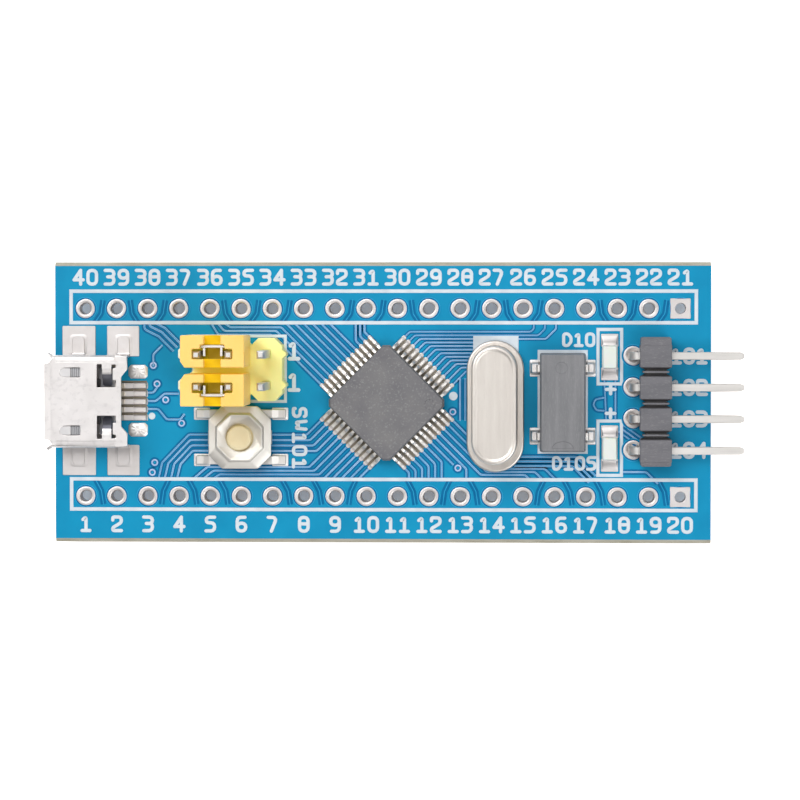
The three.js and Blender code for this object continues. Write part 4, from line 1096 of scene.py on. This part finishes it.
def crystal():
    base, can = box_of("crystal_base"), box_of("crystal_can")

    def oval(b):
        return lambda inset: stadium(b.x, b.y, b.hx - inset, b.hy - inset, 16)

    shape = Shape()
    z0, z1 = base.z0, base.z1
    shape.stack(oval(base), [(0.05, z0), (0, z0 + 0.06), (0, z1 - 0.12), (0.03, z1 - 0.05), (0.1, z1 - 0.01),
                             (0.16, z1)])
    piece("crystal_base_plate", shape, [CAN], ["crystal_base"])
    shape, z0, z1 = Shape(), can.z0, can.z1
    shape.stack(oval(can), [(-0.07, z0 - 0.02), (-0.06, z0 + 0.02), (-0.02, z0 + 0.06), (0, z0 + 0.12),
                            (0, z1 - 0.2), (0.02, z1 - 0.1), (0.06, z1 - 0.03), (0.12, z1), (0.3, z1),
                            (0.34, z1 - 0.015), (0.38, z1 - 0.03), (0.5, z1 - 0.035)])
    piece("crystal_can_shell", shape, [CAN], ["crystal_can"])
    solder = Shape()
    for i in (1, 2):
        lead = box_of(f"crystal_lead_{i}")
        shape = Shape()
        shape.lathe([(0.12, lead.z0), (0.2, lead.z0 + 0.06), (0.215, lead.z0 + 0.15), (0.215, lead.z1 - 0.05),
                     (0.17, lead.z1)], lead.x, lead.y, 16)
        piece(f"crystal_wire_{i}", shape, [TIN], [f"crystal_lead_{i}"])
        through_joint(solder, lead.x, lead.y, 0.72, 0.23)
    piece("crystal_solder", solder, [SOLDER])
    blank, shape = box_of("crystal_quartz_blank"), Shape()
    loop = [(a * blank.hy, b * (blank.z1 - blank.z0) / 2) for a, b in circle(0, 0, 1.0)]
    place = Matrix.Translation((0, blank.y, (blank.z0 + blank.z1) / 2)) @ TO_X
    shape.plate([loop], blank.x0, blank.x1, 0.02, place=place)
    piece("crystal_quartz_disc", shape, [QUARTZ], ["crystal_quartz_blank"])


def watch_crystal():
    body, shape, part = box_of("watch_crystal_body"), Shape(), 1.1
    x, y, z1 = body.x, body.y, body.z1

    def outline(inset):
        return pad_loop(x, y, body.hx - inset, body.hy - inset, 0.14, 2)

    shape.stack(outline, [(0.1, body.z0), (0, part - 0.02), (0, part + 0.02), (0.03, part + 0.03),
                          (0.12, z1 - 0.06), (0.145, z1 - 0.015), (0.18, z1)], ends=False)
    shape.sheet([outline(0.1)], body.z0, down=True)
    # Ejector mark near one end and a half-moon cut at the other.
    arc = [math.pi * k / 16 for k in range(17)]
    moon = [(x + 0.88 * math.cos(a), body.y0 + 0.3 + 0.62 * math.sin(a)) for a in arc]
    loops = [outline(0.18)]
    for loop, deep in ((circle(x - 0.1, y + 2.8, 0.5), 0.04), (moon, 0.05)):
        inner = offset(loop, 0.05)
        shape.loft([at(z1, loop[::-1]), at(z1 - deep, inner[::-1])], ends=False)
        shape.sheet([inner], z1 - deep)
        loops.append(loop[::-1])
    shape.sheet(loops, z1)
    dot = [(0.02, z1 - 0.06), (0.08, z1 - 0.04), (0.11, z1 - 0.01), (0.05, z1), (0.02, z1)]
    shape.lathe(dot, x - 0.1, y + 2.95, 12)
    piece("watch_crystal_moulding", shape, [RESIN], ["watch_crystal_body"], sharp=30)
    solder = Shape()
    for i in range(4):
        node = f"watch_crystal_lead_{i + 1}"
        foot = box_of(node)
        s = 1 if foot.x > x else -1
        shape = Shape()
        out = foot.hx * 2
        path = bend([(0.0, 0.93), (0.2, 0.93), (0.24, 0.12), (out, 0.12)], 0.14)
        base_x = foot.x0 if s > 0 else foot.x1
        shape.band(path, 0.14, foot.hy, along(base_x, foot.y, 0 if s > 0 else 180), 0.03)
        piece(f"watch_crystal_foot_{i + 1}", shape, [TIN], [node])
        px = x + s * 2.22
        smd_pad(solder, px, foot.y, 0.44, 0.68, 0.08)
        solder.mound(pad_loop(px + s * 0.02, foot.y, 0.4, 0.6, 0.14), pad_loop(px, foot.y, 0.26, 0.32, 0.08),
                     0.04, 0.28, belly=0.6)
    piece("watch_crystal_solder", solder, [SOLDER])


# ---- lamps

def lamp_part(name):
    base, lens, spread = box_of(f"{name}_base"), box_of(f"{name}_lens"), 0.28
    x, y, hx, hy = base.x, base.y, base.hx, base.hy
    carrier, cover, solder = Shape(), Shape(), Shape()
    carrier.plate([pad_loop(x, y, hx, hy - 0.32, 0.04, 1)], base.z0, base.z1, 0.03)
    for s in (-1, 1):
        # Plated end with a half-round bite where it was drilled and cut.
        bite = [(0.24 * math.cos(a), hy - 0.24 * math.sin(a)) for a in [math.pi * k / 8 for k in range(9)]]
        end = [(hx, hy), (hx, hy - 0.4), (-hx, hy - 0.4), (-hx, hy), *bite[::-1]]
        loop = [(x + a, y + s * b) for a, b in end]
        carrier.plate([loop if s < 0 else loop[::-1]], base.z0, base.z1 + 0.02, 0.02, paint=1)
        smd_pad(solder, x, y + s * 1.36, 0.7, 0.52, 0.08)
        solder.mound(pad_loop(x, y + s * 1.34, 0.66, 0.46, 0.12), pad_loop(x, y + s * 0.93, 0.52, 0.12, 0.06),
                     0.04, 0.34, belly=0.55)
    piece(f"{name}_carrier", carrier, [LAMP_BASE, PAD], [f"{name}_base"])
    cover.stack(lambda inset: pad_loop(x, y, lens.hx - inset, lens.hy + spread - inset, 0.1),
                [(0, lens.z0 + 0.03), (0.02, lens.z0 + 0.1), (0.06, lens.z1 - 0.08), (0.09, lens.z1 - 0.02),
                 (0.15, lens.z1)])
    piece(f"{name}_clear_lens", cover, [LENS], [f"{name}_lens"])
    piece(f"{name}_solder", solder, [PAD])


# ---- debug header

def debug_housing():
    body, shape = box_of("debug_header_housing"), Shape()

    def slab(stations, paints=0, radius=0.1):
        """Lofts rounded sections along Y; each has its y, its inset, its floor and its drop at the top."""
        rings = []
        for y, inset, low, drop in sorted(stations, reverse=True):
            section = rounded(rectangle(body.x0 + inset, body.x1 - inset, low, body.z1 - drop), radius, 2)
            rings.append([(x, y, z) for x, z in section])
        shape.loft(rings, paints)

    # A position is a block whose ends slope in to the web that joins it to the next.
    corners = 12
    for y in DEBUG_YS:
        slopes = ((-1.07, 0.34), (-0.92, 0.06), (-0.86, 0.0), (0.86, 0.0), (0.92, 0.06), (1.07, 0.34))
        # The sloping ends of each block are painted dark, a painted shade.
        slab([(y + a, inset, 0.02 + inset * 0.4, inset) for a, inset in slopes],
             [1] * corners + [0] * 3 * corners + [1] * (corners + 2))
    for y in DEBUG_YS[:-1]:
        # The web between blocks is painted dark, a painted shade, round a ridge left in the plain black.
        for reach, inset, tone in ((0.3, 0.4, 1), (0.07, 0.22, 0)):
            slab([(y - PITCH / 2 + a, inset, 0.12, inset) for a in (-reach, reach)], tone, 0.08)
    for s, reach in ((1, 0.62), (-1, 0.34)):
        # The stubs left where the strip was cut to length.
        slab([(s * (DEBUG_YS[0] + 0.9 + a), inset, 0.3, inset * 0.8)
              for a, inset in ((-0.2, 0.03), (reach - 0.1, 0.05), (reach, 0.16))])
    piece("debug_header_moulding", shape, [BLACK, DARK], ["debug_header_housing"], sharp=35)


def debug_pins():
    solder, h, axis = Shape(), PIN / 2 - 0.01, 1.27
    for i, y in enumerate(DEBUG_YS):
        pin, shape = box_of(f"debug_pin_{i + 1}"), Shape()
        curve = bend([(DEBUG_X, pin.z0), (DEBUG_X, axis), (pin.x1, axis)], 0.44, 5)
        path = [curve[0], (DEBUG_X, pin.z0 + 0.3), *curve[1:-1], (pin.x1 - 0.3, axis), curve[-1]]
        rings = []
        for k, (p, n) in enumerate(zip(path, normals(path))):
            t = h * (0.62 if k in (0, len(path) - 1) else 1)
            c = t * 0.86
            section = ((t, c), (t, -c), (c, -t), (-c, -t), (-t, -c), (-t, c), (-c, t), (c, t))
            rings.append([(*(Vector(p) - n * u), v) for u, v in section])
        shape.loft(rings, 0, along(0, y, 0))
        piece(f"debug_header_pin_{i + 1}", shape, [WIRE], [f"debug_pin_{i + 1}"])
        through_joint(solder, DEBUG_X, y, 0.84, 0.34)
        # A little solder shows round the pin in its ring.
        solder.lathe([(0.34, -0.3), (0.47, -0.25), (0.47, -0.06), (0.36, 0.02), (0.33, 0.1)], DEBUG_X, y, 20)
    piece("debug_header_solder", solder, [SOLDER])


# ---- underside

def below(x, y, turn=0):
    """A place under the board, turned over so that up points away from it."""
    return shifted(x, y, -THICK, turn) @ Matrix.Rotation(math.pi, 4, "X")


def under_line(ink, hx, hy, width, place):
    ink.ribbon(rectangle(-hx, hx, -hy, hy), width, -0.01, 0.03, 0.01, closed=True, place=place)


def underside_chips(solder, ink):
    """The resistors and capacitors that are CAD nodes, then a few that are only seen."""

    def chip(name, x, y, turn, hx, hy, z0, z1, glazed, nodes=()):
        shape, place = Shape(), shifted(x, y, 0, turn)
        shape.plate([pad_loop(0, 0, hx - 0.22, hy - 0.03, 0.04, 1)], z0 + 0.02, z1, 0.03, place=place)
        if glazed and nodes:
            shape.plate([pad_loop(0, 0, hx - 0.3, hy - 0.04, 0.03, 1)], z0, z0 + 0.03, place=place)
        turned = below(x, y, turn)
        for s in (-1, 1):
            shape.plate([pad_loop(s * (hx - 0.16), 0, 0.16, hy, 0.07, 2)], z0, z1, 0.05, paint=1, place=place)
            solder.plate([pad_loop(s * (hx + 0.08), 0, 0.42, hy + 0.06, 0.08)], -0.01, 0.05, 0.04,
                         under=0.0, place=turned)
            foot = pad_loop(s * (hx + 0.1), 0, 0.34, hy, 0.1)
            rim = pad_loop(s * (hx - 0.05), 0, 0.08, hy * 0.8, 0.04)
            solder.mound(foot, rim, 0.04, 0.36, root=0.06, place=turned)
        under_line(ink, 1.5, 0.72, 0.16, turned)
        paints, slot = ([RESISTOR, TIN], "resistor") if glazed else ([CERAMIC, TIN], "ceramic")
        piece(name, shape, paints, nodes)

    for name in frame["nodes"]:
        if "capacitor" in name or "resistor" in name:
            b = box_of(name)
            chip(f"{name}_body", b.x, b.y, 90 if b.hy > b.hx else 0, max(b.hx, b.hy), min(b.hx, b.hy),
                 b.z0, b.z1, "resistor" in name, [name])
    spare = [(16.0, 2.6, 90), (16.0, -1.4, 90), (12.6, 3.6, 90), (12.6, -2.4, 90), (-16.4, 4.6, 0),
             (-3.2, 3.4, 90), (19.0, -5.2, 0), (2.6, -3.9, 0)]
    for i, (x, y, turn) in enumerate(spare):
        top = -THICK - SEAT
        chip(f"underside_chip_{i + 1}", x, y, turn, 0.8, 0.4, top - (0.45 if i % 3 else 0.8), top, i % 3 > 0)


def regulator(solder, ink):
    body, feet = box_of("regulator_body"), box_of("regulator_leads")
    shape = Shape()
    shape.stack(lambda inset: pad_loop(body.x, body.y, body.hx - inset, body.hy - inset, 0.06, 2),
                [(0.06, body.z0), (0.04, body.z0 + 0.04), (0, body.z0 + 0.5), (0, body.z0 + 0.58),
                 (0.05, body.z1)])
    piece("regulator_moulding", shape, [EPOXY], ["regulator_body"])
    leads, t = Shape(), 0.075
    path = bend([(0.55, -0.6 + t), (0.98, -0.6 + t), (1.08, -SEAT - t), (feet.hx, -SEAT - t)], 0.12, 2)
    for turn, places in ((0, (-0.95, 0, 0.95)), (180, (-0.95, 0.95))):
        for dy in places:
            leads.band(path, 2 * t, 0.2, along(body.x, body.y + dy, turn, -THICK), 0.03)
            solder.plate([pad_loop(1.3, 0, 0.42, 0.3, 0.08)], -0.01, 0.045, 0.03, under=0.0,
                         place=below(body.x, body.y + dy, turn))
    piece("regulator_lead_set", leads, [TIN], ["regulator_leads"])
    under_line(ink, 1.0, 1.75, 0.16, below(body.x, body.y))


def underside_tracks():
    """Tracks are laid out as seen with the board turned over about its long axis."""
    gaps, lines, over = Shape(), Shape(), below(0, 0)

    def track(path):
        path = bend(path, 0.3, 2)
        gaps.ribbon(path, 0.48, -0.01, GAP_Z, place=over)
        lines.ribbon(path, 0.22, -0.01, TRACK_Z, 0.05, place=over)

    for k, x in enumerate(ROW_XS[2:-2]):
        if k % 3 != 1:
            turn, end = x + (0.9 if k % 2 else -0.9), ROW_Y - 5.1 - 0.45 * (k % 5)
            track([(x, ROW_Y - 0.6), (x, ROW_Y - 1.6), (turn, ROW_Y - 2.5), (turn, end)])
        if k % 4 != 2:
            track([(x, 0.6 - ROW_Y), (x, 1.5 - ROW_Y), (x - 0.8, 2.3 - ROW_Y), (x - 0.8, 4.4 - ROW_Y)])
    for k in range(5):
        y0, y1 = 0.4 * k + 1, 0.4 * k - 1
        track([(0.6 * k - 15, y0), (0.3 * k - 8, y0), (0.3 * k - 6, y1), (4, y1)])
    for x, y, r in HOLES:
        gap_ring(gaps, x, -y, r + 0.25, r + 0.48, TRACK_Z + 0.004, over)
    piece("underside_etched_gaps", gaps, [GAP])
    piece("underside_tracks", lines, [TRACK])


def underside():
    solder, ink = Shape(), Shape()
    underside_chips(solder, ink)
    regulator(solder, ink)
    for s in (-1, 1):
        under_line(ink, 25.4, 1.275, 0.25, below(0, s * 7.625))
    piece("underside_solder", solder, [SOLDER])
    underside_tracks()
    piece("underside_legend", ink, [LEGEND])


# ---- the pieces, in turn

board()
plated_holes()
tracks()
legend()
usb_socket()
boot_pins()
boot_housing()
jumper("upper", 1)
jumper("lower", -1)
reset_cover()
reset_base()
reset_button()
reset_dome()
reset_feet()
mcu_moulding()
mcu_leads()
crystal()
watch_crystal()
lamp_part("power_led")
lamp_part("user_led")
debug_housing()
debug_pins()
underside()


# ---- camera, light and floor

def aim(obj, place, target):
    """Puts an object at a place in the board's millimetres, facing a target."""
    place, target = TO_FRAME @ Vector(place), TO_FRAME @ Vector(target)
    back = (place - target).normalized()
    right = Vector((0, 1, 0)).cross(back).normalized()
    turn = Matrix((right, back.cross(right), back)).transposed()
    obj.matrix_world = Matrix.Translation(place) @ turn.to_4x4()


def camera():
    data = bpy.data.cameras.new("camera")
    data.lens = 149.7
    data.sensor_width = 36
    data.clip_start = 0.01
    data.clip_end = 10
    obj = bpy.data.objects.new("camera", data)
    bpy.context.scene.collection.objects.link(obj)
    aim(obj, (12.87, 7.73, 269.3), (1.47, 0.21, 0))
    bpy.context.scene.camera = obj


def lamp_panel(name, place, size, watts):
    data = bpy.data.lights.new(name, "AREA")
    data.shape = "RECTANGLE"
    data.size, data.size_y = size[0] * MM, size[1] * MM
    data.energy = watts
    obj = bpy.data.objects.new(name, data)
    bpy.context.scene.collection.objects.link(obj)
    aim(obj, place, (0, 0, 0))


def studio():
    world = bpy.data.worlds.new("studio")
    bpy.context.scene.world = world
    world.use_nodes = True
    world.node_tree.nodes["Background"].inputs["Color"].default_value = (1, 1, 1, 1)
    world.node_tree.nodes["Background"].inputs["Strength"].default_value = 0.4
    lamp_panel("key_panel", (-160, 220, 420), (420, 320), 1.75)
    lamp_panel("fill_panel", (240, -200, 380), (360, 300), 1.0)
    bpy.context.scene.view_settings.view_transform = "Standard"


def floor():
    paint = Paint("floor_paper", Base_Color=screen((250, 250, 250)), Roughness=0.9)
    # The paper glows evenly in the open; an ambient occlusion mask turns the glow down beneath the board, a
    # painted shade that deepens the real one seen through its holes.
    shade = paint.node("AmbientOcclusion", Distance=10 * MM)
    glow = paint.node("MapRange", From_Min=0.15, From_Max=0.5, To_Min=0.16, To_Max=0.6)
    paint.link(shade, "AO", glow, "Value")
    # The board's blue underside colours the light there; a warm tint painted into the glow where the paper is
    # in shade keeps it a neutral grey.
    tint = paint.mix((1, 0.74, 0.56, 1), (1, 1, 1, 1))
    paint.link(shade, "AO", tint, 0)
    paint.link(tint, 2, paint.shader, "Emission Color")
    paint.link(glow, "Result", paint.shader, "Emission Strength")
    half = 0.9
    mesh = bpy.data.meshes.new("floor")
    mesh.from_pydata([(-half, -half, 0), (half, -half, 0), (half, half, 0), (-half, half, 0)], [],
                     [(0, 1, 2, 3)])
    mesh.materials.append(paint.material)
    obj = bpy.data.objects.new("floor", mesh)
    obj.location.z = -0.02 * MM
    bpy.context.scene.collection.objects.link(obj)


camera()
studio()
floor()
